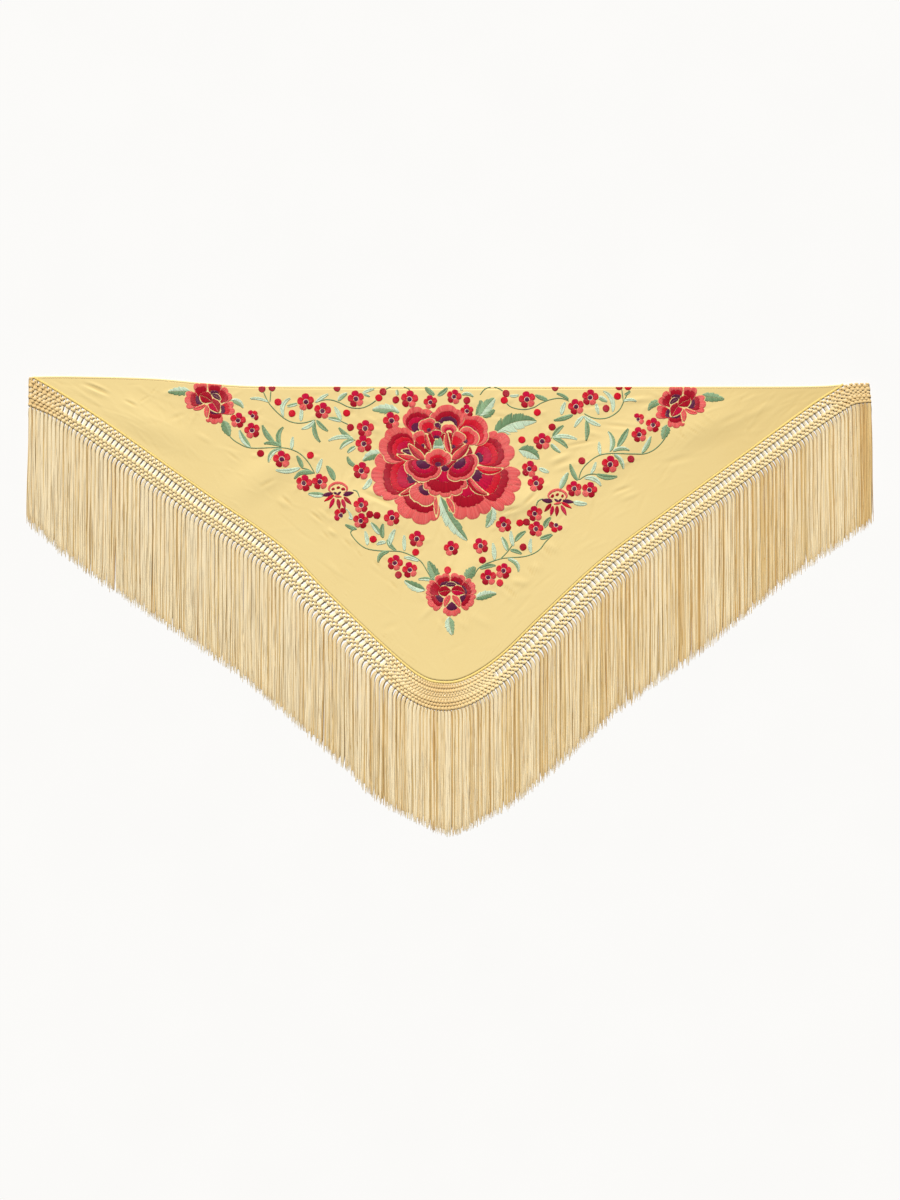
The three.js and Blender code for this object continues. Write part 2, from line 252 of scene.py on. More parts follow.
# Puckers round a motif: the way from one to the next, how far out as a share of its radius,
# their half lengths as a share of it, their half widths and their heights.
PUCKER_STEP = 2.6
PUCKER_OUT = (1.05, 1.35)
PUCKER_LENGTHS = (0.35, 0.7)
PUCKER_WIDTHS = (4, 8)
PUCKER_LIFTS = (-0.45, 0.65)

# Columns and rows of the cloth's face, and how many points its low edge has.
CLOTH_GRID = (385, 129)
LOW_LINE_POINTS = 1200

# The shades of embroidery silk, net and fringe, and the dyed cloth.
SHADES = {
    "coral": "#E75957",
    "light_coral": "#F38176",
    "red": "#D8152E",
    "crimson": "#B30D28",
    "magenta": "#CD0B40",
    "plum": "#641F46",
    "sage": "#94B388",
    "mint": "#CDE2C3",
    "leaf_green": "#7B9B70",
    "cream": "#F3E8C8",
    "cord": "#FBE6B2",
    "cord_gold": "#E3C184",
    "silk_pale": "#F8EAC8",
    "silk_gold": "#E3C68A",
    "silk_deep": "#C9A061",
    "crepe": "#ECD391",
    "crepe_warm": "#E6C984",
    "hem": "#F6DA84",
}

# How a petal is shaded from its base to its rim: shade, from and to as shares of its reach.
PETAL_STYLES = {
    "full": [("plum", 0.03, 0.27), ("magenta", 0.27, 0.48), ("red", 0.48, 0.62),
             ("crimson", 0.62, 0.77), ("coral", 0.77, 1)],
    "upper": [("plum", 0.1, 0.4), ("magenta", 0.4, 0.62), ("crimson", 0.62, 0.8),
              ("coral", 0.8, 1)],
    "dome": [("plum", 0.42, 0.58), ("crimson", 0.58, 0.78), ("coral", 0.78, 1)],
    "bright": [("magenta", 0.3, 0.6), ("red", 0.6, 0.82), ("coral", 0.82, 1)],
    "cup": [("plum", 0.02, 0.42), ("magenta", 0.42, 0.64), ("crimson", 0.64, 0.85),
            ("coral", 0.85, 1)],
    "bowl": [("plum", 0.02, 0.26), ("crimson", 0.26, 0.5), ("red", 0.5, 0.7),
             ("coral", 0.7, 1)],
    "small": [("plum", 0.02, 0.26), ("red", 0.26, 0.74), ("coral", 0.74, 1)],
    "arch": [("magenta", 0.4, 0.66), ("coral", 0.66, 1)],
    "rim": [("coral", 0.8, 1)],
    "heart": [("plum", 0.3, 0.55), ("magenta", 0.55, 1)],
    "stamen": [("sage", 0.3, 0.75), ("mint", 0.75, 1)],
    "fold": [("plum", 0.02, 0.5), ("coral", 0.5, 1)],
    "skirt": [("plum", 0.02, 0.2), ("magenta", 0.2, 0.54), ("crimson", 0.54, 0.88),
              ("coral", 0.88, 1)],
    "deep": [("crimson", 0.05, 0.72), ("coral", 0.72, 1)],
    "low": [("plum", 0.02, 0.2), ("magenta", 0.2, 0.46), ("crimson", 0.46, 0.72),
            ("coral", 0.72, 1)],
    "plum": [("plum", 0.02, 1)],
    "crimson": [("crimson", 0.02, 1)],
    "edged": [("crimson", 0.24, 0.82), ("coral", 0.82, 1)],
    "crown": [("plum", 0.4, 0.6), ("crimson", 0.6, 0.83), ("coral", 0.83, 1)],
    "side": [("plum", 0.46, 0.62), ("red", 0.62, 0.8), ("coral", 0.8, 1)],
    "corner": [("plum", 0.32, 0.56), ("crimson", 0.56, 0.77), ("coral", 0.77, 1)],
    "tail": [("plum", 0.02, 0.62), ("coral", 0.62, 1)],
}

# Petals of the peony's heart, the uppermost first: base x, y and reach in pixels, with the
# direction and half spread in degrees: x, y, direction, reach, half spread, fullness of the
# sides, lobes, style.
PEONY_HEART = [
    (438.1, 466.5, 90, 17.5, 82, 4, 3, "bowl"),
    (436.5, 441.4, 90, 11, 40, 8, 1, "heart"),
    (438.6, 432.7, -90, 18, 24, 8, 1, "stamen"),
    (424, 460.9, -100, 20.7, 92, 8, 3, "cup"),
    (457.6, 460.9, -52, 20.3, 88, 8, 3, "cup"),
    (444.6, 465.3, -88, 32, 60, 8, 5, "skirt"),
    (452.2, 449, 60, 18.4, 32, 5, 1, "small"),
    (424, 447.9, 113, 17.4, 31, 5, 1, "small"),
    (437.5, 427.5, 95, 5, 60, 3, 1, "plum"),
    (448.9, 433.8, 90, 10, 82, 5, 2, "arch"),
    (429.4, 431.6, 108, 13.6, 76, 3, 2, "small"),
    (464.1, 442.5, 52, 16.4, 80, 2.5, 2, "small"),
    (427.2, 485.9, -120, 20, 78, 3, 2, "fold"),
]

# The peony's turned-over edges: from pixel x, y to x, y, width in pixels, bend as a share of
# length, shades left and right.
PEONY_FOLDS = [
    (425.1, 459.8, 408.3, 443.6, 7.5, 0.05, "crimson", "coral"),
    (451.6, 459.8, 469.4, 442.6, 8, -0.05, "coral", "crimson"),
    (430.6, 450.4, 426.2, 432.7, 5, 0.1, "crimson", "coral"),
    (450.2, 452.8, 446.8, 431.4, 5, 0.08, "coral", "crimson"),
    (425, 460.6, 396.5, 454.2, 6, 0.04, "red", "coral"),
    (418.4, 455.8, 401, 450.4, 5.5, -0.06, "plum", "plum"),
    (476.4, 466.6, 503.4, 468.2, 7, -0.12, "coral", "red"),
    (420, 482.8, 398.6, 495, 6, 0.08, "crimson", "coral"),
    (468.6, 476.4, 489, 494.4, 7, -0.16, "coral", "crimson"),
    (434.8, 494, 436.2, 517.4, 3.6, 0.02, "coral", "coral"),
    (446.2, 497.6, 453.8, 514, 5, 0.06, "coral", "coral"),
]

# The peony's outer petals, with the columns of its heart.
PEONY_RIM = [
    (448.4, 431.6, 97, 27, 80, 2.5, 3, "dome"),
    (417, 433, 76, 26.6, 84, 2.5, 4, "upper"),
    (463.5, 440, 45, 29, 78, 2, 3, "bright"),
    (412.5, 454.5, 148, 36, 70, 2, 4, "full"),
    (472, 460.6, 23, 44, 48, 2.8, 4, "full"),
    (420, 477.4, 176, 49, 52, 4, 5, "full"),
    (468.4, 471.4, -25, 54.4, 37, 6, 4, "full"),
    (427, 485, -115, 40, 62, 4, 4, "deep"),
    (464.6, 477.6, -77, 42.5, 54, 4, 5, "low"),
    (441, 462, 90, 33, 179, 40, 1, "crimson"),
]

# The corner flower's folds and petals, from the flower's own middle.
CORNER_FOLDS = [
    (1, -5.6, 9.8, 0.4, 4.6, 0.08, "plum", "plum"),
    (-11.2, -4.6, 1.2, 2, 11.6, 0.08, "crimson", "crimson"),
    (-1.4, -0.4, 7.6, 12.6, 11.4, 0.06, "crimson", "magenta"),
    (-2.4, 4.4, -3.6, 19, 5, -0.1, "coral", "coral"),
    (-18, 9.2, -4.4, 3.6, 4, -0.1, "coral", "coral"),
]
CORNER_PETALS = [
    (2.8, 3, 87, 21.4, 28, 6, 2, "crown"),
    (-7.4, 3.6, 101, 21.6, 27, 6, 2, "edged"),
    (1.6, 3.6, 35, 21, 31, 6, 2, "edged"),
    (-0.6, 11.6, 10, 24.6, 23, 6, 2, "side"),
    (4.6, 2.4, -94, 21.8, 34, 6, 3, "corner"),
    (-2, -0.6, 182, 24.4, 31, 6, 3, "corner"),
]

# The bottom flower's folds and petals, from the flower's own middle.
BOTTOM_FOLDS = [
    (-12.2, -1.4, 0, -3.2, 10.4, 0.08, "crimson", "crimson"),
    (0, -3.4, 14, -1, 10, 0.1, "crimson", "magenta"),
    (-5.4, -9.2, 6.4, -8.8, 4.4, 0.08, "plum", "plum"),
    (-0.8, 1, -6.4, 13, 5.4, -0.08, "coral", "coral"),
    (1.2, 1, 8.8, 13.4, 5.8, 0.08, "coral", "coral"),
]
BOTTOM_PETALS = [
    (0.8, 7.6, -90, 14.6, 56, 6, 4, "tail"),
    (-3.4, -1, 109, 20.4, 32, 6, 2, "crown"),
    (2.2, -1, 73, 20.4, 32, 6, 2, "crown"),
    (-3.6, -0.6, 161, 22.2, 30, 6, 3, "edged"),
    (4.6, 0, 27, 21.6, 34, 6, 3, "corner"),
    (-3.6, -1.6, 213, 22.6, 37, 6, 3, "corner"),
    (3.6, -1.4, -32, 22, 37, 6, 3, "corner"),
]

# Where the composed flowers lie: middle pixel x, y and the side that they face.
CORNER_FLOWERS = [(211, 400, 1), (679.5, 404, -1)]
BOTTOM_FLOWERS = [(451, 594.2, 1)]
FAN_FLOWERS = [(338, 493.5, 1), (557.5, 500.5, -1)]

# How far the larger flowers reach, in pixels, and the peony's middle x, y and reach.
COMPOSED_RADIUS = 23
FAN_RADIUS = 14
PEONY_ROUND = (442, 463, 62)

# A fan flower's strokes, from its middle: from x, y to x, y, width, shade.
FAN_STROKES = [
    (-6, -5, -3.6, -4, 3.2, "crimson"),
    (-1.2, -6.2, 2, -5.6, 3, "crimson"),
    (3.6, -5.2, 7, -3.6, 3.4, "crimson"),
    (-4, -1.2, -0.4, 1, 2.4, "plum"),
    (-0.4, 1, 3, -1.6, 2.4, "plum"),
    (-5.2, 0.2, -16.2, 1.8, 4.2, "plum"),
    (5.4, 1.2, 15.6, -0.8, 4.6, "plum"),
    (-3.4, 2.4, 3.6, 3.4, 2.6, "coral"),
    (-4.2, 1.8, -13.8, 7.6, 3.4, "red"),
    (-3.8, 4.8, -8.6, 14.6, 4, "magenta"),
    (0.2, 5.6, 1.2, 15.4, 4.2, "crimson"),
    (4.4, 5.6, 7, 15, 4, "magenta"),
    (6.2, 3.4, 13.2, 10.8, 4, "crimson"),
]

# Small five-petalled flowers: pixel x, y, radius in pixels, turn in degrees, number of petals.
SMALL_FLOWERS = [
    (238, 420.5, 8, -10, 5), (252, 430.5, 8, 12, 5), (252.5, 416, 6.4, 30, 3),
    (306, 402, 8.6, 6, 5), (322.5, 411, 8.4, -8, 5), (356, 399, 8.6, 10, 5),
    (409.4, 399.4, 8.8, -6, 5), (430.4, 402.4, 7, 8, 5), (454, 396.8, 7.4, -12, 5),
    (467, 411.2, 7, 6, 5), (391.6, 420.8, 8.8, 14, 5), (365.2, 428.6, 8.8, -4, 5),
    (363.8, 443.8, 8.8, 10, 5), (361.4, 470.8, 8.8, -10, 5), (281.9, 459.4, 8.8, 6, 5),
    (303.8, 483.2, 8.2, -12, 5), (319.8, 481.8, 8.2, 8, 5), (361.2, 505.2, 7.8, 4, 5),
    (341, 515.4, 7.6, 120, 3), (360.8, 521, 7.8, -8, 5), (392.2, 518, 8.2, 16, 5),
    (416.8, 539, 8.2, -6, 5), (451.4, 548.4, 7.8, 8, 5), (480.6, 546, 8, 20, 5),
    (394.8, 563, 8, -14, 5), (409.8, 570, 8, 10, 5), (488.2, 577.4, 8, 4, 5),
    (503.4, 570.8, 8, -10, 5), (527, 399.6, 8.4, 10, 5), (590, 397.6, 8.4, -6, 5),
    (576, 406.8, 8.2, 12, 5), (542.2, 441.4, 8.8, 4, 5), (529.4, 469, 8.2, -10, 5),
    (536, 483.4, 8.4, 8, 5), (610, 464.6, 8.8, -4, 5), (639, 434.8, 7.8, 12, 5),
    (653, 425, 7.6, -8, 5), (638, 419.4, 6.4, 20, 3), (574.2, 488.8, 8, 6, 5),
    (589.4, 490, 8, -12, 5), (534.8, 513.8, 7.8, 10, 5), (536, 529, 7.8, -6, 5),
    (556.2, 525, 7.4, -130, 3), (503.8, 524.6, 8.2, 14, 5),
]

# Berries: pixel x, y, and their radius in pixels.
BERRY_RADIUS = 3.5
BERRIES = [
    (262, 388.8), (272, 387.6), (278, 402), (292, 413.4), (337, 388), (346.6, 413),
    (350.4, 427.4), (378.8, 397.8), (383, 391.8), (395.8, 399.8), (466.8, 400.4), (260.6, 453.4),
    (310.4, 455.2), (369.8, 514.4), (377, 515.4), (373.2, 539.2), (415.6, 552.2), (398.4, 574.8),
    (447.6, 570), (482.4, 560), (499.8, 582.8), (523, 547), (506, 393.4), (504.2, 400.2),
    (537.2, 412.4), (555, 387.4), (552, 427), (521.8, 439.8), (619, 386.6), (628, 386.6),
    (617.4, 396.2), (606, 408.4), (581.8, 460.8), (630.8, 459), (519.8, 522.8), (526.4, 522),
]

# Vines: pixels x, y that each runs through.
VINES = [
    [(223, 420.6), (229.7, 436), (240, 444), (252, 448), (281, 447.6), (296, 451.3),
     (306.3, 459.6), (314.8, 473)],
    [(263, 391), (269, 403.2), (279.8, 414.8), (289.8, 421.4), (301.4, 423.1), (315.5, 419.8)],
    [(271, 390), (270, 402)],
    [(314.6, 402.6), (324, 399.8), (331.2, 399.9), (339.5, 402.6), (349.5, 407.3),
     (361, 408.1), (371, 404), (380, 396.6), (385, 390), (391, 386.8), (398, 385.8),
     (407.5, 388.2), (412.5, 393)],
    [(357, 528.9), (350.3, 531.7), (356.1, 540.8), (366, 548.3), (381, 550.8), (400, 551.4),
     (413.4, 556.5), (421.2, 561.7), (427.2, 571.2), (431, 578)],
    [(354, 440), (362, 442)],
    [(356, 465.4), (361, 466.5)],
    [(352.8, 490.2), (357, 491), (359.6, 497.7)],
    [(668, 427), (665.3, 437.4), (656.1, 448.1), (645.4, 453.5), (633.1, 453.9),
     (610.2, 453.5), (597.9, 455.8), (587.2, 463.4), (581.1, 471.1), (578.4, 480)],
    [(629.3, 389.9), (624, 400.6), (619.4, 409.8), (610.2, 416.7), (601, 418.7),
     (591.8, 417.5), (584.1, 413.6)],
    [(621.6, 389), (623.2, 401)],
    [(480, 395), (484.6, 389.1), (492.3, 386.8), (499.9, 389.1), (505.3, 393)],
    [(504.5, 400.6), (510.6, 406.8), (522.9, 409.5), (533.6, 407.5), (541.3, 402.9),
     (552, 399.1), (561.2, 398.3), (569, 401)],
    [(552.7, 534.6), (545.8, 541.5), (538.2, 550.7), (525.9, 556.1), (510.6, 557.6),
     (501, 558.6), (486.6, 563.4), (478, 568.6), (473.7, 576.3)],
    [(514.5, 541.5), (508, 551), (501, 558.4)],
    [(543, 498.6), (537.6, 501), (536, 507)],
    [(552, 437.6), (545, 440)],
    [(314.6, 473.6), (308, 469.4), (301, 467.8)],
    [(579, 480), (585, 475.8), (591, 474), (597, 474.2)],
    [(341, 421.2), (349, 424.8)],
    [(251.6, 424), (251.4, 418)],
    [(638.6, 429), (638.2, 422)],
]

# Slender leaves: base x, y, tip x, y, width, all in pixels, bend as a share of length, tone.
LEAVES = [
    (268.4, 402, 246.8, 399.4, 3, -0.1, "mint"),
    (283.6, 417, 293.6, 397, 4.4, 0.26, "mint"),
    (298.4, 403.4, 285, 406.6, 3.4, 0.02, "sage"),
    (300.8, 421.4, 302, 406, 4, 0, "mint"),
    (315.4, 402.6, 330.4, 393.2, 3.6, 0.04, "mint"),
    (337.8, 401, 348.4, 392.8, 4.8, 0.08, "sage"),
    (361.9, 393.6, 376.6, 388.8, 3, 0.06, "mint"),
    (362.4, 394.6, 371.5, 398, 2.4, 0.1, "sage"),
    (341, 420.2, 333.4, 405.4, 4.4, -0.04, "mint"),
    (341.6, 421.4, 326.6, 418.2, 4, -0.05, "sage"),
    (314.6, 420.6, 299.4, 429, 4, 0.12, "mint"),
    (316.3, 419.8, 329.4, 431.9, 4.4, -0.06, "leaf_green"),
    (314.8, 421, 322.3, 444, 4.6, -0.15, "leaf_green"),
    (354.1, 440.5, 337.4, 425.6, 4.6, 0.06, "leaf_green"),
    (353.4, 438.4, 326, 442.3, 4.4, -0.12, "mint"),
    (354.4, 440, 339.3, 450.8, 4.8, -0.14, "sage"),
    (356.1, 446.6, 346.6, 454, 4.2, -0.08, "sage"),
    (356.1, 466, 347.4, 454.6, 4.4, 0.18, "leaf_green"),
    (371, 477.8, 361.5, 489.6, 5.4, 0.12, "mint"),
    (274.6, 442.4, 262.1, 423.2, 5.4, 0.1, "leaf_green"),
    (281, 446.6, 285.2, 425.6, 5, 0.22, "leaf_green"),
    (291.7, 449.4, 293.2, 435.2, 3.8, 0.02, "mint"),
    (281.8, 446.6, 261.4, 444.3, 4.2, -0.12, "leaf_green"),
    (282.3, 449.3, 268.8, 464.8, 4.8, -0.25, "sage"),
    (302.7, 468, 296, 454.4, 4.4, -0.03, "leaf_green"),
    (300.4, 467.6, 273.2, 469.2, 5, 0.1, "mint"),
    (316.8, 473.6, 322.6, 457.4, 4.6, 0.02, "mint"),
    (334.6, 480.6, 325.6, 464.8, 6, -0.06, "leaf_green"),
    (314, 473, 293, 480.4, 5.4, -0.18, "leaf_green"),
    (324.9, 494.7, 306.6, 493.3, 5.6, 0.04, "sage"),
    (353, 519.4, 345, 507.2, 5.6, 0.08, "mint"),
    (356.9, 529, 343.9, 523.6, 4, 0.06, "leaf_green"),
    (367.4, 545.4, 364.6, 529.6, 4.2, -0.04, "mint"),
    (380, 534.6, 370, 521.4, 5.2, -0.02, "sage"),
    (383, 538.3, 383.6, 522.2, 4.8, 0.08, "leaf_green"),
    (389, 546.4, 396, 528, 5.4, 0.06, "mint"),
    (386.2, 542.4, 375.4, 545.6, 4, -0.12, "mint"),
    (386.8, 539.2, 397.6, 551, 4.2, -0.1, "leaf_green"),
    (404.6, 551, 404.4, 532.8, 3.8, 0.02, "mint"),
    (389.3, 551.6, 378.4, 564.6, 4.6, -0.26, "leaf_green"),
    (434.9, 394.9, 424.5, 385.6, 5, 0.08, "leaf_green"),
    (437.3, 395.7, 448.4, 386.2, 4.4, -0.08, "leaf_green"),
    (461.6, 390.9, 461.4, 384.6, 3.2, 0, "mint"),
    (461.4, 394.8, 474.4, 398.2, 3.6, 0.2, "sage"),
    (397.5, 395.4, 396.5, 388.6, 3.2, 0, "sage"),
    (230.6, 400.8, 243.6, 409.2, 5.8, 0.2, "sage"),
    (250.8, 447.2, 239.3, 428.2, 6, 0.1, "sage"),
    (509.4, 395.6, 520.8, 394, 2.8, -0.1, "mint"),
    (547.7, 399.6, 533.8, 394, 4.4, 0.05, "leaf_green"),
    (568.8, 399.4, 554.4, 392.8, 3.2, -0.06, "leaf_green"),
    (561.2, 415, 566, 400.8, 4.4, 0.05, "mint"),
    (573.1, 414.7, 551.9, 420.5, 4.8, 0.04, "leaf_green"),
    (597.9, 396.8, 607.8, 402, 5, 0.02, "sage"),
    (595.9, 402.9, 599.1, 415.8, 3.6, -0.02, "mint"),
    (612.4, 412.4, 600.2, 389.8, 4.6, -0.22, "mint"),
    (623.2, 401.4, 638.4, 402.8, 3, 0.16, "mint"),
    (624, 394.5, 631, 389.6, 2.6, -0.12, "leaf_green"),
    (583.7, 415.9, 573.7, 429, 4, -0.06, "mint"),
    (583.6, 415.9, 602.8, 426.2, 4.6, -0.07, "mint"),
    (586, 420, 585.4, 442.2, 4.8, 0.07, "leaf_green"),
    (552.4, 437.4, 564.9, 424.6, 4.4, 0.06, "leaf_green"),
    (552, 437.4, 580, 441, 4.2, 0.1, "mint"),
    (552.7, 438.1, 568.7, 450.2, 4.4, 0.12, "leaf_green"),
    (550.4, 443.2, 561.7, 453.2, 4.2, -0.05, "sage"),
    (538.7, 468, 550.3, 472.8, 4.4, -0.02, "mint"),
    (609.6, 452, 606.4, 430, 5.2, -0.2, "sage"),
    (617.2, 447, 628.9, 427, 5.8, -0.02, "leaf_green"),
    (600.2, 455, 599, 440.2, 3.6, 0.02, "mint"),
    (612.5, 451.4, 631, 451.4, 4.2, 0.16, "sage"),
    (613.6, 454.4, 623.2, 470.8, 4.6, 0.16, "sage"),
    (641.6, 453.2, 651.2, 434.4, 4.8, -0.05, "sage"),
    (577.7, 480.6, 569.7, 462.2, 4.6, 0.06, "leaf_green"),
    (590.6, 473.8, 596.1, 459.8, 3.4, -0.06, "mint"),
    (596, 474, 619, 475.8, 5.4, -0.1, "leaf_green"),
    (584.1, 478.4, 601.7, 488, 4.8, 0.22, "mint"),
    (559.8, 489.1, 568.9, 471.2, 6, 0.02, "sage"),
    (572.6, 501.6, 588.6, 503.6, 5, -0.06, "mint"),
    (543.6, 528.5, 551.4, 516.6, 5.4, 0.06, "leaf_green"),
    (539.7, 538.7, 553.2, 533.4, 4.2, -0.04, "leaf_green"),
    (531.3, 553.2, 531.8, 537, 4, 0.1, "mint"),
    (513.7, 546.3, 511, 529.3, 4.2, 0.06, "mint"),
    (514.8, 541.7, 527.2, 530.6, 4.8, 0.08, "leaf_green"),
    (507.6, 550.9, 501, 535.6, 5, -0.03, "sage"),
    (509.9, 550.1, 522.8, 554.8, 4, 0.08, "leaf_green"),
    (494.4, 560.2, 492.4, 541.2, 4.6, -0.03, "mint"),
    (418.8, 561, 401.6, 557.2, 3.8, -0.05, "mint"),
    (434.1, 581, 416, 580.2, 3.8, -0.1, "sage"),
    (479.7, 568.8, 497.3, 565.8, 4.4, 0.08, "leaf_green"),
    (507.4, 559, 518, 574.2, 4.4, 0.26, "sage"),
]

# Broad toothed leaves: base x, y, tip x, y, width, bend, light half's tone, dark half's tone.
BROAD_LEAVES = [
    (190.8, 391.4, 167, 392, 8.6, -0.02, "leaf_green", "mint"),
    (223.1, 420.4, 229.9, 436.6, 9, 0, "sage", "leaf_green"),
    (399.6, 412.4, 371.2, 410.2, 10, -0.08, "sage", "mint"),
    (384, 454.6, 362.2, 461.6, 9.6, -0.14, "leaf_green", "mint"),
    (440.4, 496.6, 468.4, 541.4, 13.5, -0.07, "leaf_green", "mint"),
    (491.4, 505.8, 485.2, 528.2, 9.6, 0.12, "mint", "sage"),
    (493, 436.2, 537.4, 421.6, 18, 0.14, "leaf_green", "mint"),
    (518.3, 450, 539.4, 459.8, 12.5, 0.12, "leaf_green", "mint"),
    (667.4, 424.4, 662.6, 440, 8.6, 0, "leaf_green", "sage"),
    (661.6, 402.2, 648, 411.6, 6.6, -0.2, "leaf_green", "sage"),
    (699.6, 396.4, 725.2, 399.4, 9, 0.02, "sage", "leaf_green"),
    (425.4, 590, 403.6, 579.8, 9, 0.06, "mint", "leaf_green"),
    (438.2, 581.6, 427.8, 560.2, 10, 0, "sage", "leaf_green"),
    (465, 579.6, 475.4, 566, 10, 0, "sage", "leaf_green"),
    (474.6, 598.8, 497.4, 593.6, 8.4, 0.06, "mint", "leaf_green"),
    (449.4, 616.4, 452.8, 635.6, 9.4, -0.06, "sage", "mint"),
    (475.5, 415.6, 479.6, 399.2, 8.4, -0.2, "leaf_green", "sage"),
    (479, 416, 495.4, 397.6, 12, 0.02, "sage", "mint"),
    (482.4, 416.6, 495.2, 409, 6.8, -0.06, "sage", "leaf_green"),
]

# Lateral place of a net cord in columns, and its height, by share of the band.
# Share, 0 for at its own column or 1 for half a column out, height.
NET_PATH = [
    (0.0, 0, 1.2), (0.045, 0, 1.7), (0.09, 0.6, 1.3), (0.13, 1, 1.9), (0.165, 0.75, 1.4),
    (0.2, 0.5, 1.1), (0.24, 0.2, 1.5), (0.285, 0, 2.1), (0.33, 0, 1.5), (0.46, 0, 1.2),
    (0.6, 0, 1.4), (0.655, 0, 2.1), (0.69, 0.35, 1.4), (0.725, 0.7, 1.3), (0.775, 1, 2.0),
    (0.81, 0.7, 1.3), (0.85, 0.35, 1.3), (0.91, 0, 2.0), (0.96, 0, 1.6), (1.03, 0, 1.5),
]

# The rows of knots: share of the band, 0 on the columns or 1 between them, size, and 1 for
# the rows that are only where the net bunches.
NET_KNOTS = [
    (0.035, 0, 0.85, 0), (0.13, 1, 1.05, 0), (0.285, 0, 1.2, 0), (0.38, 1, 1, 1),
    (0.47, 0, 1, 1), (0.56, 1, 1, 1), (0.655, 0, 1.2, 0), (0.78, 1, 1.05, 0),
    (0.915, 0, 1.15, 0),
]

# A satin stitch: shares of its length, with its rise over the cloth and its width at each, and
# its half width as a share of the stitch spacing. Real stitches are far finer.
SATIN_SHARES = (0.0, 0.24, 0.76, 1.0)
SATIN_RISE = (0.45, 1.0, 1.0, 0.45)
SATIN_WIDTH = (0.8, 1, 1, 0.8)
STITCH_HALF = 0.68

# How deep the lobes of a petal's rim and the teeth of a broad leaf are, how many teeth, and how
# far the corners of a small flower's petal draw in.
LOBE_DEPTH = 0.09
TOOTH_DEPTH = 0.22
LEAF_TEETH = 5
SMALL_PETAL_DROP = 0.26

# The shortest stitch that is kept where something lies above, in mm.
SHORTEST_STITCH = 1.2

# The wraps and points along a side hem, and the top hem's stitches: pitch and length in mm.
HEM_WRAPS = 760
HEM_POINTS = 300
TOP_STITCH_PITCH = 4.6
TOP_STITCH = 2.9

# How many columns from the point and from each corner the net bunches.
BUNCHED_AT_POINT = 17
BUNCHED_AT_LEFT = 7
BUNCHED_AT_RIGHT = 8

# A knot's turns: half reach as a share of the pitch and its limit in mm, the way from turn to
# turn, how far a turn leans, and its half width and height.
KNOT_REACH = 0.44
KNOT_LIMIT = 3.5
TURN_STEP = 1.25
TURN_LEAN = 0.55
TURN_WIDE = 0.95
TURN_HIGH = 0.6

# Half the width of a net cord in its own half widths, and how much wider its loose middle is.
CORD_SPREAD = 1.2
LOOSE_SPREAD = 1.3

# The flat cords below the net, where it bunches and elsewhere: from and to as shares of the band,
# half width as a share of the pitch.
BUNCHED_CORDS = (0.05, 0.96, 0.5)
THIN_CORDS = (0.3, 0.64, 0.38)

# Half the width of a strand: at its root, what it gains by its bend and from there to its end,
# and how far its bed reaches beyond it. Heights of the bed, the lowest threads, the crown of the
# strand over them and the threads' ends. How much shorter the bed is than the threads.
ROOT_ROOM = 2.7
BEND_ROOM = 0.5
END_ROOM = 1.0
BED_BEYOND = 1.1
BED_HEIGHT = 0.36
LOW_THREADS = 0.72
STRAND_CROWN = 1.1
END_HEIGHT = 0.45
BED_SHORT = 9.0

# The share of a strand where its bend ends, and the path points before and after that.
BEND_SHARE = 0.18
BEND_POINTS = 7
FALL_POINTS = 11

# How deep the threads' colour is on the flanks of a strand, deepened there as painted shade, and
# how much paler on its crown as a painted highlight, with the spread between threads and between
# strands.
FLANK_DEPTH_AND_SHADE = 0.74
CROWN_PAINTED_HIGHLIGHT = 0.78
THREAD_SPREAD = 0.27
STRAND_TONES = 0.45

# The painted shade on the flanks of net cord, fringe threads, satin stitches and hem wraps: how
# much of each colour channel is kept there, in linear light.
CORD_PAINTED_SHADE = (0.8, 0.66, 0.42)
FLOSS_PAINTED_SHADE = (0.76, 0.65, 0.47)
SATIN_PAINTED_SHADE = (0.83, 0.75, 0.79)
HEM_PAINTED_SHADE = (0.96, 0.88, 0.7)

# The stage: the floor's colour and half its side in metres, the key light's spread and turn in
# degrees, the camera's sensor in mm and how far it sees in metres.
FLOOR_COLOUR = "#F4F3F1"
FLOOR_HALF = 4.0
KEY_SOFTNESS = 14
KEY_TURN = (-46, -14, 0)
SENSOR_WIDTH = 36
CAMERA_REACH = 30

# Sizes in mm of the weave and of the streaks in each silk. Real crepe threads are about 0.2 mm
# apart and silk filaments finer still, which would vanish in the picture, so all are drawn coarser.
WEAVE_MM = 1.1
HEM_STREAK_MM = 1.2
CORD_STREAK_MM = 1.0
FLOSS_STREAK_MM = 2.0
SATIN_STREAK_MM = 1.5


def linear(code):
    """Turn an sRGB hex colour into linear light."""
    parts = [int(code[i:i + 2], 16) / 255 for i in (1, 3, 5)]
    return tuple(p / 12.92 if p <= 0.04045 else ((p + 0.055) / 1.055) ** 2.4 for p in parts)


def shade(name):
    """The linear colour that the user has chosen for a shade."""
    return np.array(getattr(bpy.context.scene.shawl_colours, name)[:])


def sizes():
    return bpy.context.scene.shawl_sizes


def smooth(rows, field, at):
    """The value of a table's column at a key, on a smooth curve through its rows."""
    keys, values = rows[:, 0], rows[:, field]
    at = np.asarray(at, float)
    order = np.arange(len(keys))
    ahead = np.minimum(order + 1, len(keys) - 1)
    behind = np.maximum(order - 1, 0)
    slopes = (values[ahead] - values[behind]) / (keys[ahead] - keys[behind])
    i = np.clip(np.searchsorted(keys, at) - 1, 0, len(keys) - 2)
    span = keys[i + 1] - keys[i]
    t = (at - keys[i]) / span
    start = (1 + 2 * t) * (1 - t) ** 2 * values[i] + t * (1 - t) ** 2 * span * slopes[i]
    end = t * t * (3 - 2 * t) * values[i + 1] + t * t * (t - 1) * span * slopes[i + 1]
    return start + end


def unit(vectors):
    return vectors / np.maximum(np.linalg.norm(vectors, axis=-1, keepdims=True), 1e-9)


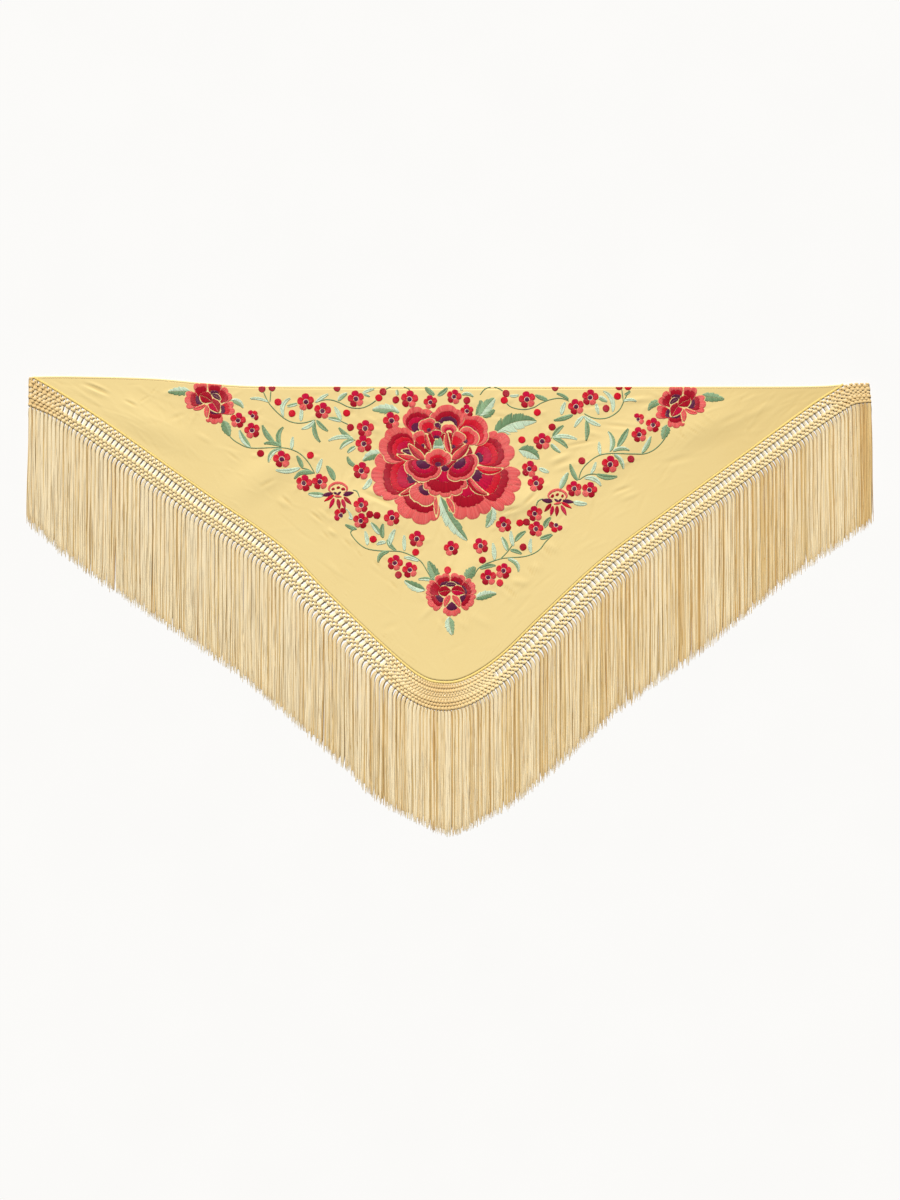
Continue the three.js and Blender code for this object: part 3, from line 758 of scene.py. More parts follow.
def hem_point(column):
    return np.stack([smooth(BAND, 1, column), smooth(BAND, 2, column)], axis=-1)


def foot_point(column):
    return np.stack([smooth(BAND, 3, column), smooth(BAND, 4, column)], axis=-1)


def column_direction(column):
    return unit(foot_point(column) - hem_point(column))


def inside_hem(column, distance):
    """Points that lie inwards of the hem's outer edge, at right angles to it."""
    column = np.asarray(column, float)
    along = unit(hem_point(column + 0.5) - hem_point(column - 0.5))
    inwards = np.stack([-along[..., 1], along[..., 0]], axis=-1)
    return hem_point(column) + inwards * np.asarray(distance, float)[..., None]


def net_point(column, share):
    """The place at a share of a net column's length."""
    start = hem_point(column) + column_direction(column) * SEAM_GAP
    share = np.asarray(share, float)[..., None]
    return start * (1 - share) + foot_point(column) * share


def at_pixel(x, y):
    """A pixel of the photograph in the layout's millimetres."""
    x, y = np.asarray(x, float), np.asarray(y, float)
    across, up = x - ORIGIN_PIXEL_X, ORIGIN_PIXEL_Y - y
    return np.stack([across * MM_PER_PIXEL, up * MM_PER_PIXEL], axis=-1)


LOW_LINE = inside_hem(np.linspace(PANEL_FROM, PANEL_TO, LOW_LINE_POINTS),
                      SIDE_HEM_WIDTH - HEM_LAP)


def low_edge_y(x):
    return np.interp(x, LOW_LINE[:, 0], LOW_LINE[:, 1])


def top_edge_y(x):
    return smooth(TOP_EDGE, 1, x)


def bump(distance):
    """A soft hill, one at the middle and nothing from a distance of one."""
    return np.where(np.abs(distance) < 1, np.cos(distance * math.pi / 2) ** 2, 0)


class Relief:
    """Heights of the laid cloth above its flat lie, on an even grid."""

    STEP = 1.5
    ACROSS = (-780, 780)
    UPWARDS = (-160, 425)
    EDGE_FADE = 14.0

    def __init__(self):
        self.x = np.arange(*self.ACROSS, self.STEP)
        self.y = np.arange(*self.UPWARDS, self.STEP)
        self.height = np.zeros((len(self.x), len(self.y)))

    def press(self, x, y, turn, length, width, lift):
        """Add one ripple, crease or pucker round its middle."""
        reach = length + width
        ix = (self.x > x - reach) & (self.x < x + reach)
        iy = (self.y > y - reach) & (self.y < y + reach)
        dx, dy = np.meshgrid(self.x[ix] - x, self.y[iy] - y, indexing="ij")
        along = (dx * math.cos(turn) + dy * math.sin(turn)) / length
        across = (dy * math.cos(turn) - dx * math.sin(turn)) / width
        self.height[np.ix_(ix, iy)] += lift * bump(along) * bump(across)

    def fade_edges(self):
        """Let the relief die out at the cloth's edges, where the hems hold it flat."""
        x, y = np.meshgrid(self.x, self.y, indexing="ij")
        below = (y - low_edge_y(x)) * 0.78
        above = top_edge_y(x) - TOP_HEM_WIDTH - y
        share = np.clip(np.minimum(below, above) / self.EDGE_FADE, 0, 1)
        floor = -LOWEST_HOLLOW * np.tanh(np.maximum(-self.height, 0) / LOWEST_HOLLOW)
        self.height = np.where(self.height < 0, floor, self.height)
        self.height = self.height * share * share * (3 - 2 * share)

    def at(self, x, y):
        fx = np.clip((x - self.x[0]) / self.STEP, 0, len(self.x) - 1.001)
        fy = np.clip((y - self.y[0]) / self.STEP, 0, len(self.y) - 1.001)
        i, j = fx.astype(int), fy.astype(int)
        u, v = fx - i, fy - j
        h = self.height
        low = h[i, j] * (1 - u) + h[i + 1, j] * u
        high = h[i, j + 1] * (1 - u) + h[i + 1, j + 1] * u
        return low * (1 - v) + high * v


def puckered_rounds():
    """The rounds whose stitches pull the cloth up beside them: middle x, y and radius."""
    rounds = [(x, y, radius) for x, y, radius, _, _ in SMALL_FLOWERS]
    rounds += [(x, y, COMPOSED_RADIUS) for x, y, _ in CORNER_FLOWERS + BOTTOM_FLOWERS]
    rounds += [(x, y, FAN_RADIUS) for x, y, _ in FAN_FLOWERS]
    rounds.append(PEONY_ROUND)
    return rounds + [(x, y, BERRY_RADIUS + 1) for x, y in BERRIES]


def lay_relief(depth):
    """The relief of ripples, creases and the puckers that the embroidery pulls up."""
    relief = Relief()
    for x, y, turn, length, width, lift in RIPPLES:
        relief.press(x, y, math.radians(turn), length, width, lift)
    for x0, y0, x1, y1, width, lift in CREASES:
        start, end = at_pixel(x0, y0), at_pixel(x1, y1)
        middle, run = (start + end) / 2, end - start
        turn = math.atan2(run[1], run[0])
        length = np.linalg.norm(run) * CREASE_HALF
        relief.press(*middle, turn, length, width, lift * depth * CREASE_DEPTH)
        # Cloth that is pushed into a trough stands up in soft shoulders beside it.
        shoulder = max(0, -lift) * depth * SHOULDER_HEIGHT
        length *= SHOULDER_LENGTH
        relief.press(*middle, turn, length, width * SHOULDER_WIDTH, shoulder)
    rng = np.random.default_rng(11)
    for x in rng.uniform(*WRINKLE_SPAN, WRINKLES):
        y = rng.uniform(low_edge_y(x), top_edge_y(x))
        turn = -math.copysign(rng.normal(WRINKLE_LEAN, 0.35), -x) + rng.normal(0, 0.2)
        lift = rng.uniform(-1, 1) * WRINKLE_LIFT * depth
        length, width = rng.uniform(*WRINKLE_LENGTHS), rng.uniform(*WRINKLE_WIDTHS)
        relief.press(x, y, turn, length, width, lift)
    for x, y, radius in puckered_rounds():
        for turn in np.arange(0, 2 * math.pi, PUCKER_STEP / math.sqrt(radius)):
            turn += rng.uniform(-0.3, 0.3)
            out = radius * rng.uniform(*PUCKER_OUT)
            spot = at_pixel(x + out * math.cos(turn), y - out * math.sin(turn))
            length = MM_PER_PIXEL * radius * rng.uniform(*PUCKER_LENGTHS) + 6
            lift = rng.uniform(*PUCKER_LIFTS) * depth
            turn += rng.uniform(-0.4, 0.4)
            relief.press(*spot, turn, length, rng.uniform(*PUCKER_WIDTHS), lift)
    relief.fade_edges()
    return relief


RELIEF = lay_relief(1.0)


def cloth_top(x, y):
    """The height of the cloth's face at a point."""
    return sizes().cloth_thickness * 1000 + RELIEF.at(x, y)


def painted_cloth_shade(x, y):
    """The painted shade of the cloth: how much light it keeps in its hollows, and the painted shade
    that darkens it toward its right end.
    """
    beside = HOLLOW_REACH
    around = sum(RELIEF.at(x + dx, y + dy) for dx, dy in
                 ((beside, 0), (-beside, 0), (0, beside), (0, -beside))) / 4
    painted_darkening = np.clip((around - RELIEF.at(x, y)) * HOLLOW_PAINTED_SHADE, *HOLLOW_LIMITS)
    # Painted shade darkens the cloth toward its right end.
    painted_darkening = painted_darkening + END_PAINTED_SHADE * np.clip((x - END_FROM) / END_LENGTH, 0, 1) ** 1.3
    return 1 - painted_darkening[..., None] * np.array(PAINTED_SHADE_HUE)


def finish_mesh(name, points, loops, starts, colours, material, normals=None):
    """Make an object of a mesh given by its points, face corners and face starts."""
    mesh = bpy.data.meshes.new(name)
    mesh.vertices.add(len(points))
    mesh.vertices.foreach_set("co", ((points + SHIFT) / 1000).astype(np.float32).ravel())
    mesh.loops.add(len(loops))
    mesh.loops.foreach_set("vertex_index", loops.astype(np.int32))
    mesh.polygons.add(len(starts))
    mesh.polygons.foreach_set("loop_start", starts.astype(np.int32))
    mesh.polygons.foreach_set("use_smooth", np.ones(len(starts), bool))
    if colours is not None:
        layer = mesh.color_attributes.new("thread_colour", "FLOAT_COLOR", "POINT")
        rgba = np.concatenate([colours, np.ones((len(colours), 1))], axis=1)
        layer.data.foreach_set("color", rgba.astype(np.float32).ravel())
    mesh.update(calc_edges=True)
    if normals is not None:
        mesh.normals_split_custom_set_from_vertices(normals.astype(np.float32))
    mesh.materials.append(material)
    made = bpy.data.objects.new(name, mesh)
    bpy.context.scene.collection.objects.link(made)
    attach(made, "root")
    return made


class Skein:
    """Gathers closed lengths of thread and makes one mesh of them."""

    UNDERSIDE_RISE = 0.32

    def __init__(self):
        self.points, self.colours, self.normals, self.loops, self.lengths = [], [], [], [], []
        self.count = 0

    def lay(self, paths, wide, high, sides, colours, flank=(1.0, 1.0, 1.0), twist=0.0):
        """Add threads along paths of equal count: half width, half height, number of sides,
        a colour for each thread or point, the painted shade that darkens its flanks and its turn
        per point."""
        n, m = paths.shape[:2]
        if n == 0:
            return
        along = np.empty_like(paths)
        along[:, 1:-1] = paths[:, 2:] - paths[:, :-2]
        along[:, 0] = paths[:, 1] - paths[:, 0]
        along[:, -1] = paths[:, -1] - paths[:, -2]
        along = unit(along)
        side = unit(np.cross(along, [0.0, 0.0, 1.0]))
        rise = np.cross(side, along)
        angle = math.pi / 2 + np.arange(sides) * 2 * math.pi / sides
        angle = angle[None, :] + np.arange(m)[:, None] * twist
        wide = np.broadcast_to(wide, (n, m))[..., None, None]
        high = np.broadcast_to(high, (n, m))[..., None, None]
        ring = side[:, :, None] * np.cos(angle)[None, ..., None] * wide
        ring = ring + rise[:, :, None] * np.sin(angle)[None, ..., None] * high
        points = paths[:, :, None] + ring
        # Each thread is shaded as a round one to its very ends, its underside as its flank.
        outward = side[:, :, None] * np.cos(angle)[None, ..., None]
        lifted = np.maximum(np.sin(angle), self.UNDERSIDE_RISE)
        outward = outward + rise[:, :, None] * lifted[None, ..., None]
        self.normals.append(unit(outward).reshape(-1, 3))
        colours = np.asarray(colours, float)
        if colours.ndim == 2:
            colours = colours[:, None]
        flank = np.array(flank)
        # Painted shade: the flanks and underside of each thread are darkened, its top keeps its
        # full colour.
        light = flank + (1 - flank) * np.clip(np.sin(angle) * 0.5 + 0.5, 0, 1)[..., None]
        shaded_colours = np.broadcast_to(colours, (n, m, 3))[:, :, None] * light[None]
        self.points.append(points.reshape(-1, 3))
        self.colours.append(shaded_colours.reshape(-1, 3))
        base = self.count + (np.arange(n) * m * sides)[:, None]
        k = np.arange(sides)
        ring_start = (np.arange(m - 1) * sides)[:, None]
        a, b = ring_start + k, ring_start + (k + 1) % sides
        quads = np.stack([a, a + sides, b + sides, b], axis=-1).reshape(1, -1)
        self.loops.append((base + quads).reshape(-1))
        self.lengths.append(np.full(n * (m - 1) * sides, 4))
        caps = np.concatenate([k, (m - 1) * sides + k[::-1]])[None]
        self.loops.append((base + caps).reshape(-1))
        self.lengths.append(np.full(n * 2, sides))
        self.count += n * m * sides

    def satin(self, starts, ends, colours, pad=0.75, wide=None):
        """Add stitches over the cloth from starts to ends, padded up in the middle.
        What would run over the top edge of the cloth is left off."""
        if len(starts) == 0:
            return
        limit = top_edge_y(starts[:, 0]) - EDGE_MARGIN
        upper, lower = np.maximum(starts[:, 1], ends[:, 1]), np.minimum(starts[:, 1], ends[:, 1])
        over = np.clip((upper - limit) / np.maximum(upper - lower, 0.01), 0, 1)
        kept = lower < limit - 0.5
        run = (ends - starts) * over[:, None]
        starts_high = (starts[:, 1] > ends[:, 1])[:, None]
        starts = np.where(starts_high, starts + run, starts)[kept]
        ends = np.where(starts_high, ends, ends - run)[kept]
        colours = colours[kept]
        share, rise = np.array(SATIN_SHARES), np.array(SATIN_RISE)
        flat = starts[:, None] + (ends - starts)[:, None] * share[None, :, None]
        z = cloth_top(flat[..., 0], flat[..., 1]) + rise * pad
        half = sizes().stitch_spacing * 1000 * STITCH_HALF
        if wide is not None:
            half = wide[kept][:, :1] * (1 - share) + wide[kept][:, 1:] * share
        narrow = np.array(SATIN_WIDTH) * half
        paths = np.concatenate([flat, z[..., None]], axis=2)
        self.lay(paths, narrow, 0.3, 3, colours, SATIN_PAINTED_SHADE)

    def wind(self, name, material):
        """Make the gathered threads one object."""
        lengths = np.concatenate(self.lengths)
        starts = np.concatenate([[0], np.cumsum(lengths)[:-1]])
        points, colours = np.concatenate(self.points), np.concatenate(self.colours)
        loops, normals = np.concatenate(self.loops), np.concatenate(self.normals)
        return finish_mesh(name, points, loops, starts, colours, material, normals)


def vary(rng, colour, count, amount):
    """A colour for each thread, a little lighter or darker than the shade."""
    return np.clip(colour[None] * (1 + rng.uniform(-amount, amount, (count, 1))), 0, 1)


def shown_parts(starts, ends, above, gap=PETAL_GAP):
    """The lengths of stitches that are not under what lies above, and whose they are."""
    share = np.linspace(0, 1, 30)[None, :, None]
    points = starts[:, None] * (1 - share) + ends[:, None] * share
    hidden = np.zeros(points.shape[:2], bool)
    for other in above:
        hidden |= other.covers(points, gap)
    rows, firsts, lasts = [], [], []
    for row in np.flatnonzero(~hidden.all(axis=1)):
        shown = np.flatnonzero(~hidden[row])
        for run in np.split(shown, np.flatnonzero(np.diff(shown) > 1) + 1):
            first, last = points[row, run[0]], points[row, run[-1]]
            if np.linalg.norm(last - first) > SHORTEST_STITCH:
                rows.append(row)
                firsts.append(first)
                lasts.append(last)
    return np.array(rows, int), np.array(firsts).reshape(-1, 2), np.array(lasts).reshape(-1, 2)


class Disc:
    """A round motif, as far as it hides what lies below."""

    def __init__(self, x, y, radius):
        self.middle = at_pixel(x, y)
        self.radius = radius * MM_PER_PIXEL

    def covers(self, points, gap):
        return np.linalg.norm(points - self.middle, axis=-1) < self.radius + gap * 0.5


class Petal:
    """A petal shaped like an opened fan, with a lobed rim."""

    def __init__(self, x, y, turn, reach, spread, fullness, lobes, style):
        self.base = at_pixel(x, y)
        self.turn = math.radians(turn)
        self.reach = reach * MM_PER_PIXEL
        self.spread = math.radians(spread)
        self.fullness = fullness
        self.lobes = lobes
        self.bands = PETAL_STYLES[style]

    def radius(self, u):
        """The distance from the base to the rim at -1 to 1 across the fan."""
        if self.fullness == 0:
            return self.reach * (1 - SMALL_PETAL_DROP * np.abs(u) ** 3)
        side = np.clip(1 - np.abs(u) ** self.fullness, 0, 1) ** 0.5
        wave = np.abs(np.sin(self.lobes * math.pi * (u + 1) / 2))
        depth = LOBE_DEPTH if self.lobes > 1 else 0.0
        return self.reach * side * (1 - depth * (1 - wave) ** 1.6)

    def covers(self, points, gap):
        """Whether points lie under this petal or closer to it than the gap."""
        away = points - self.base
        far = np.linalg.norm(away, axis=-1)
        turn = np.arctan2(away[..., 1], away[..., 0]) - self.turn
        turn = (turn + math.pi) % (2 * math.pi) - math.pi
        spare = gap / np.maximum(far, 1)
        u = np.clip(turn / self.spread, -1, 1)
        within = np.abs(turn) < self.spread + spare
        inner = self.bands[0][1] * self.reach * 0.8
        return within & (far < self.radius(u) + gap) & (far > inner - gap)

    def place(self, u, far):
        turn = self.turn + u * self.spread
        return self.base + np.stack([np.cos(turn), np.sin(turn)], axis=-1) * far[..., None]


class Fold:
    """A petal's edge that is turned over, shaped like a slender leaf."""

    def __init__(self, *row):
        self.row = row

    def covers(self, points, gap):
        x0, y0, x1, y1, width, bend = self.row[:6]
        base, tip = at_pixel(x0, y0), at_pixel(x1, y1)
        run = tip - base
        length = np.linalg.norm(run)
        share = (points - base) @ run / length ** 2
        across = (points - base) @ np.array([-run[1], run[0]]) / length
        inside = np.clip(share, 0, 1)
        middle = bend * 4 * inside * (1 - inside) * length
        half = width * MM_PER_PIXEL / 2 * np.sin(math.pi * inside ** 0.85) ** 0.8
        return (share > 0) & (share < 1) & (np.abs(across - middle) < half + gap)


def stitch_petal(skein, rng, petal, above):
    """Fill a petal with fanned satin stitches, left off where other petals lie above it."""
    spacing = sizes().stitch_spacing * 1000
    for name, low, high in petal.bands:
        middle = petal.reach * (low * 0.35 + high * 0.65)
        count = max(4, int(2 * petal.spread * middle * 0.96 / spacing))
        u = (np.arange(count) + 0.5) / count * 1.96 - 0.98
        rim = petal.radius(u)
        ragged = rng.uniform(-0.5, 0.7, (2, count))
        wave = 0.02 * np.cos(petal.lobes * math.pi * (u + 1))
        start = rim * np.clip(low + wave * (low > 0.2), 0.02, 1) - ragged[0]
        end = rim * np.clip(high + wave * (high < 1), 0.03, 1) + ragged[1] * (high < 1)
        _, starts, ends = shown_parts(petal.place(u, start), petal.place(u, end), above)
        colours = vary(rng, shade(name), len(starts), 0.12)
        if name == "coral" and len(starts):
            mix = rng.uniform(0, 0.75, (len(starts), 1))
            colours = colours * (1 - mix) + shade("light_coral") * mix
        far = np.stack([np.linalg.norm(p - petal.base, axis=1) for p in (starts, ends)], axis=1)
        wide = np.clip(far * petal.spread / count * 1.3, 0.45, 1.15)
        skein.satin(starts, ends, colours, 0.75, wide)


def flower_parts(folds, petals, x=0.0, y=0.0, facing=1):
    """A flower's folds and petals, moved to their place and turned to the side it faces."""
    parts = []
    for x0, y0, x1, y1, width, bend, left, right in folds:
        if facing < 0:
            bend, left, right = -bend, right, left
        ends = (x + x0 * facing, y + y0, x + x1 * facing, y + y1)
        parts.append(Fold(*ends, width, bend, left, right))
    for px, py, turn, *shape in petals:
        turn = turn if facing > 0 else 180 - turn
        parts.append(Petal(x + px * facing, y + py, turn, *shape))
    return parts


def peony_parts():
    return flower_parts([], PEONY_HEART) + flower_parts(PEONY_FOLDS, PEONY_RIM)


def composed_flowers():
    """The parts of each corner and bottom flower."""
    corners = [flower_parts(CORNER_FOLDS, CORNER_PETALS, *row) for row in CORNER_FLOWERS]
    bottoms = [flower_parts(BOTTOM_FOLDS, BOTTOM_PETALS, *row) for row in BOTTOM_FLOWERS]
    return corners + bottoms


def raised_motifs():
    """All that leaves and vines run under."""
    motifs = peony_parts() + [part for parts in composed_flowers() for part in parts]
    motifs += [Disc(x, y, radius) for x, y, radius, _, _ in SMALL_FLOWERS]
    return motifs + [Disc(x, y, BERRY_RADIUS) for x, y in BERRIES]


def stitch_flower(skein, rng, parts):
    """Stitch a flower made of petals and folds, the uppermost first."""
    for i, part in enumerate(parts):
        if isinstance(part, Fold):
            stitch_leaf(skein, rng, part.row, 0, parts[:i])
        else:
            stitch_petal(skein, rng, part, parts[:i])


def stitch_disc(skein, rng, x, y, radius, name, turn):
    """Fill a small round with parallel stitches."""
    spacing = sizes().stitch_spacing * 1000
    radius = radius * MM_PER_PIXEL
    count = max(4, int(2 * radius / spacing * 1.2))
    offset = ((np.arange(count) + 0.5) / count * 2 - 1) * radius
    half = np.sqrt(np.maximum(radius ** 2 - offset ** 2, 0.2)) * rng.uniform(0.96, 1.04, count)
    along = np.array([math.cos(turn), math.sin(turn)])
    across = np.array([-along[1], along[0]])
    middle = at_pixel(x, y) + offset[:, None] * across
    colours = vary(rng, shade(name), count, 0.12)
    skein.satin(middle - along * half[:, None], middle + along * half[:, None], colours, 0.9)


def stitch_ring(skein, x, y, radius, name, start):
    """Couch an open loop of thread round a flower's eye."""
    turn = start + np.linspace(0, 1.3 * math.pi, 11)
    round_it = np.stack([np.cos(turn), np.sin(turn)], axis=-1) * radius * MM_PER_PIXEL
    flat = at_pixel(x, y) + round_it
    z = cloth_top(flat[:, 0], flat[:, 1]) + 0.5
    path = np.concatenate([flat, z[:, None]], axis=1)[None]
    skein.lay(path, 0.6, 0.4, 3, shade(name)[None])


def stitch_small_flower(skein, rng, x, y, radius, turn, petals):
    """Stitch a flower of five petals, or a part of one, round a plum eye."""
    shades = ["magenta", "red", "coral", "crimson", "red"]
    if rng.random() < 0.45:
        shades = ["magenta", "red", "crimson", "coral", "red"]
    for i in range(petals):
        heading = 90 - 72 * i + turn
        reach = radius * rng.uniform(0.95, 1.04)
        petal = Petal(x, y, heading, reach, 34.5, 0, 1, "crimson")
        petal.bands = [(shades[i], 0.34, 1)]
        stitch_petal(skein, rng, petal, [])
    stitch_disc(skein, rng, x, y, radius * 0.25, "plum", rng.uniform(0, math.pi))
    stitch_ring(skein, x, y, radius * 0.31, "cream", rng.uniform(0, 2 * math.pi))


def leaf_line(base, tip, bend, share):
    """Points and side directions along a bent midrib."""
    run = tip - base
    across = np.array([-run[1], run[0]])
    line = base + run * share[:, None] + across * (bend * 4 * share * (1 - share))[:, None]
    heading = unit(run + across * (bend * 4 * (1 - 2 * share))[:, None])
    return line, np.stack([-heading[:, 1], heading[:, 0]], axis=-1)


def stitch_leaf(skein, rng, row, teeth=0, above=()):
    """Stitch a leaf's two halves with stitches that slant out from the midrib to the tip."""
    x0, y0, x1, y1, width, bend, left, right = row
    base, tip = at_pixel(x0, y0), at_pixel(x1, y1)
    length = np.linalg.norm(tip - base)
    half = width * MM_PER_PIXEL / 2
    count = max(5, int(length / (sizes().stitch_spacing * 1000 * 1.05)))
    share = (np.arange(count) + 0.5) / count * 0.98
    slant = min(0.16, 1.1 * half / length)
    rim_share = np.clip(share + slant * (1 - share), 0, 1)
    rib, _ = leaf_line(base, tip, bend, share)
    rim, side = leaf_line(base, tip, bend, rim_share)
    swell = np.sin(math.pi * rim_share ** 0.85) ** 0.8
    for hand, name in ((1, left), (-1, right)):
        tooth = 1.0
        if teeth:
            tooth += TOOTH_DEPTH * ((rim_share * teeth + 0.3) % 1 - 0.5)
        reach = half * swell * tooth * rng.uniform(0.93, 1.05, count)
        end = rim + side * (hand * reach)[:, None]
        start = rib + side * (hand * 0.25)
        rows, start, end = shown_parts(start, end, above)
        skein.satin(start, end, vary(rng, shade(name), count, 0.14)[rows], 0.65)


def stitch_stroke(skein, rng, x0, y0, x1, y1, width, name):
    """Stitch a spindle-shaped petal from side to side."""
    base, tip = at_pixel(x0, y0), at_pixel(x1, y1)
    run = tip - base
    length = np.linalg.norm(run)
    count = max(4, int(length / (sizes().stitch_spacing * 1000)))
    share = (np.arange(count) + 0.5) / count
    half = width * MM_PER_PIXEL / 2 * np.sin(math.pi * share ** 0.8) ** 0.7
    across = np.array([-run[1], run[0]]) / length
    middle = base + run * share[:, None]
    reach = across * half[:, None] + run / length * 0.8
    skein.satin(middle - reach, middle + reach, vary(rng, shade(name), count, 0.12), 0.9)


def through(points, spacing):
    """Evenly spaced points on a smooth curve through a few."""
    rows = np.concatenate([np.arange(len(points))[:, None], points], axis=1)
    fine = np.linspace(0, len(points) - 1, 40 * len(points))
    line = np.stack([smooth(rows, 1, fine), smooth(rows, 2, fine)], axis=-1)
    run = np.concatenate([[0], np.cumsum(np.linalg.norm(np.diff(line, axis=0), axis=1))])
    count = max(3, int(run[-1] / spacing))
    even = np.linspace(0, run[-1], count)
    return np.stack([np.interp(even, run, line[:, 0]), np.interp(even, run, line[:, 1])], -1)


def stitch_vine(skein, rng, points, above):
    """Work a stem in overlapping slanted stitches."""
    line = through(at_pixel(*np.array(points, float).T), 3.0)
    start, end = line[:-2], line[2:]
    across = unit(end - start)[:, ::-1] * np.array([-0.3, 0.3])
    _, start, end = shown_parts(start + across, end - across, above)
    colours = vary(rng, shade("leaf_green"), len(start), 0.15)
    skein.satin(start, end, colours, 0.6, np.full((len(start), 2), 0.95))


def add_node(tree, kind, values=None, links=None, **settings):
    """Add a node with its settings, its inputs' values and the outputs that feed them."""
    node = tree.nodes.new(kind)
    for name, value in settings.items():
        setattr(node, name, value)
    for name, value in (values or {}).items():
        node.inputs[name].default_value = value
    for name, output in (links or {}).items():
        tree.links.new(output, node.inputs[name])
    return node


def new_surface(name):
    """A material with its shader and output nodes."""
    material = bpy.data.materials.new(name)
    material.use_nodes = True
    tree = material.node_tree
    return material, tree, tree.nodes["Principled BSDF"]


def woven_crepe(name, colour, other, thread_mm):
    """Dyed crepe: hard-twisted threads in plain weave give a pebbled face with little gloss."""
    material, tree, shader = new_surface(name)
    shader.inputs["Roughness"].default_value = 0.72
    shader.inputs["Specular IOR Level"].default_value = 0.35
    shader.inputs["Sheen Weight"].default_value = 0.25
    shader.inputs["Sheen Roughness"].default_value = 0.45
    place = add_node(tree, "ShaderNodeTexCoord").outputs["Object"]
    patch = add_node(tree, "ShaderNodeTexNoise", {"Scale": 1 / 0.11, "Detail": 3.0},
                     {"Vector": place})
    fleck = add_node(tree, "ShaderNodeTexNoise", {"Scale": 1000 / (thread_mm * 2), "Detail": 2.0},
                     {"Vector": place})
    both = add_node(tree, "ShaderNodeMath", {}, {0: patch.outputs["Fac"],
                                                 1: fleck.outputs["Fac"]},
                    operation="MULTIPLY")
    dyed = add_node(tree, "ShaderNodeMix", {6: (*colour, 1), 7: (*other, 1)},
                    {0: both.outputs[0]}, data_type="RGBA")
    # Painted shade darkens the dyed colour in the hollows of the folds and toward the cloth's right
    # end.
    painted_shade = add_node(tree, "ShaderNodeAttribute", attribute_name="thread_colour")
    dyed_with_painted_shade = add_node(tree, "ShaderNodeVectorMath", {}, {0: dyed.outputs[2],
                                                         1: painted_shade.outputs["Color"]},
                      operation="MULTIPLY")
    tree.links.new(dyed_with_painted_shade.outputs[0], shader.inputs["Base Color"])
    # A wave texture has one band for each 0.314 of its scaled coordinate.
    bands = 314 / thread_mm
    warp = add_node(tree, "ShaderNodeTexWave", {"Scale": bands, "Distortion": 1.5,
                                                "Detail": 1.0},
                    {"Vector": place}, bands_direction="X")
    weft = add_node(tree, "ShaderNodeTexWave", {"Scale": bands, "Distortion": 1.5,
                                                "Detail": 1.0},
                    {"Vector": place}, bands_direction="Y")
    weave = add_node(tree, "ShaderNodeMath", {}, {0: warp.outputs["Fac"],
                                                  1: weft.outputs["Fac"]},
                     operation="MULTIPLY")
    pebble = add_node(tree, "ShaderNodeMath", {}, {0: weave.outputs[0],
                                                   1: fleck.outputs["Fac"]},
                      operation="ADD")
    raised = add_node(tree, "ShaderNodeBump", {"Strength": 0.2, "Distance": 0.0002},
                      {"Height": pebble.outputs[0]})
    tree.links.new(raised.outputs["Normal"], shader.inputs["Normal"])
    return material


def silk_thread(name, roughness, sheen, strand_mm):
    """Filament silk: long smooth threads that catch the light along them and vary in tone."""
    material, tree, shader = new_surface(name)
    shader.inputs["Roughness"].default_value = roughness
    shader.inputs["Specular IOR Level"].default_value = 0.3
    shader.inputs["Sheen Weight"].default_value = sheen
    shader.inputs["Sheen Roughness"].default_value = 0.35
    thread = add_node(tree, "ShaderNodeAttribute", attribute_name="thread_colour")
    place = add_node(tree, "ShaderNodeTexCoord").outputs["Object"]
    streak = add_node(tree, "ShaderNodeTexNoise", {"Scale": 1000 / strand_mm, "Detail": 2.0},
                      {"Vector": place})
    tone = add_node(tree, "ShaderNodeMapRange", {"To Min": 0.9, "To Max": 1.08},
                    {"Value": streak.outputs["Fac"]})
    dyed = add_node(tree, "ShaderNodeVectorMath", {}, {0: thread.outputs["Color"],
                                                       1: tone.outputs["Result"]},
                    operation="MULTIPLY")
    tree.links.new(dyed.outputs[0], shader.inputs["Base Color"])
    raised = add_node(tree, "ShaderNodeBump", {"Strength": 0.25, "Distance": 0.0001},
                      {"Height": streak.outputs["Fac"]})
    tree.links.new(raised.outputs["Normal"], shader.inputs["Normal"])
    return material


def grid_faces(columns, rows, flip, base=0):
    """Quads over a grid of points that is stored column by column."""
    i, j = np.meshgrid(np.arange(columns - 1), np.arange(rows - 1), indexing="ij")
    a = (base + i * rows + j).ravel()
    quad = np.stack([a, a + rows, a + rows + 1, a + 1], axis=-1)
    return quad[:, ::-1] if flip else quad


def edge_loop(columns, rows, step):
    """The numbers of a grid's rim points, all the way round, each step apart."""
    low = np.arange(0, columns - 1, step) * rows
    right = (columns - 1) * rows + np.arange(0, rows - 1, step)
    high = np.arange(columns - 1, 0, -step) * rows + rows - 1
    left = np.arange(rows - 1, 0, -step)
    return np.concatenate([low, right, high, left])


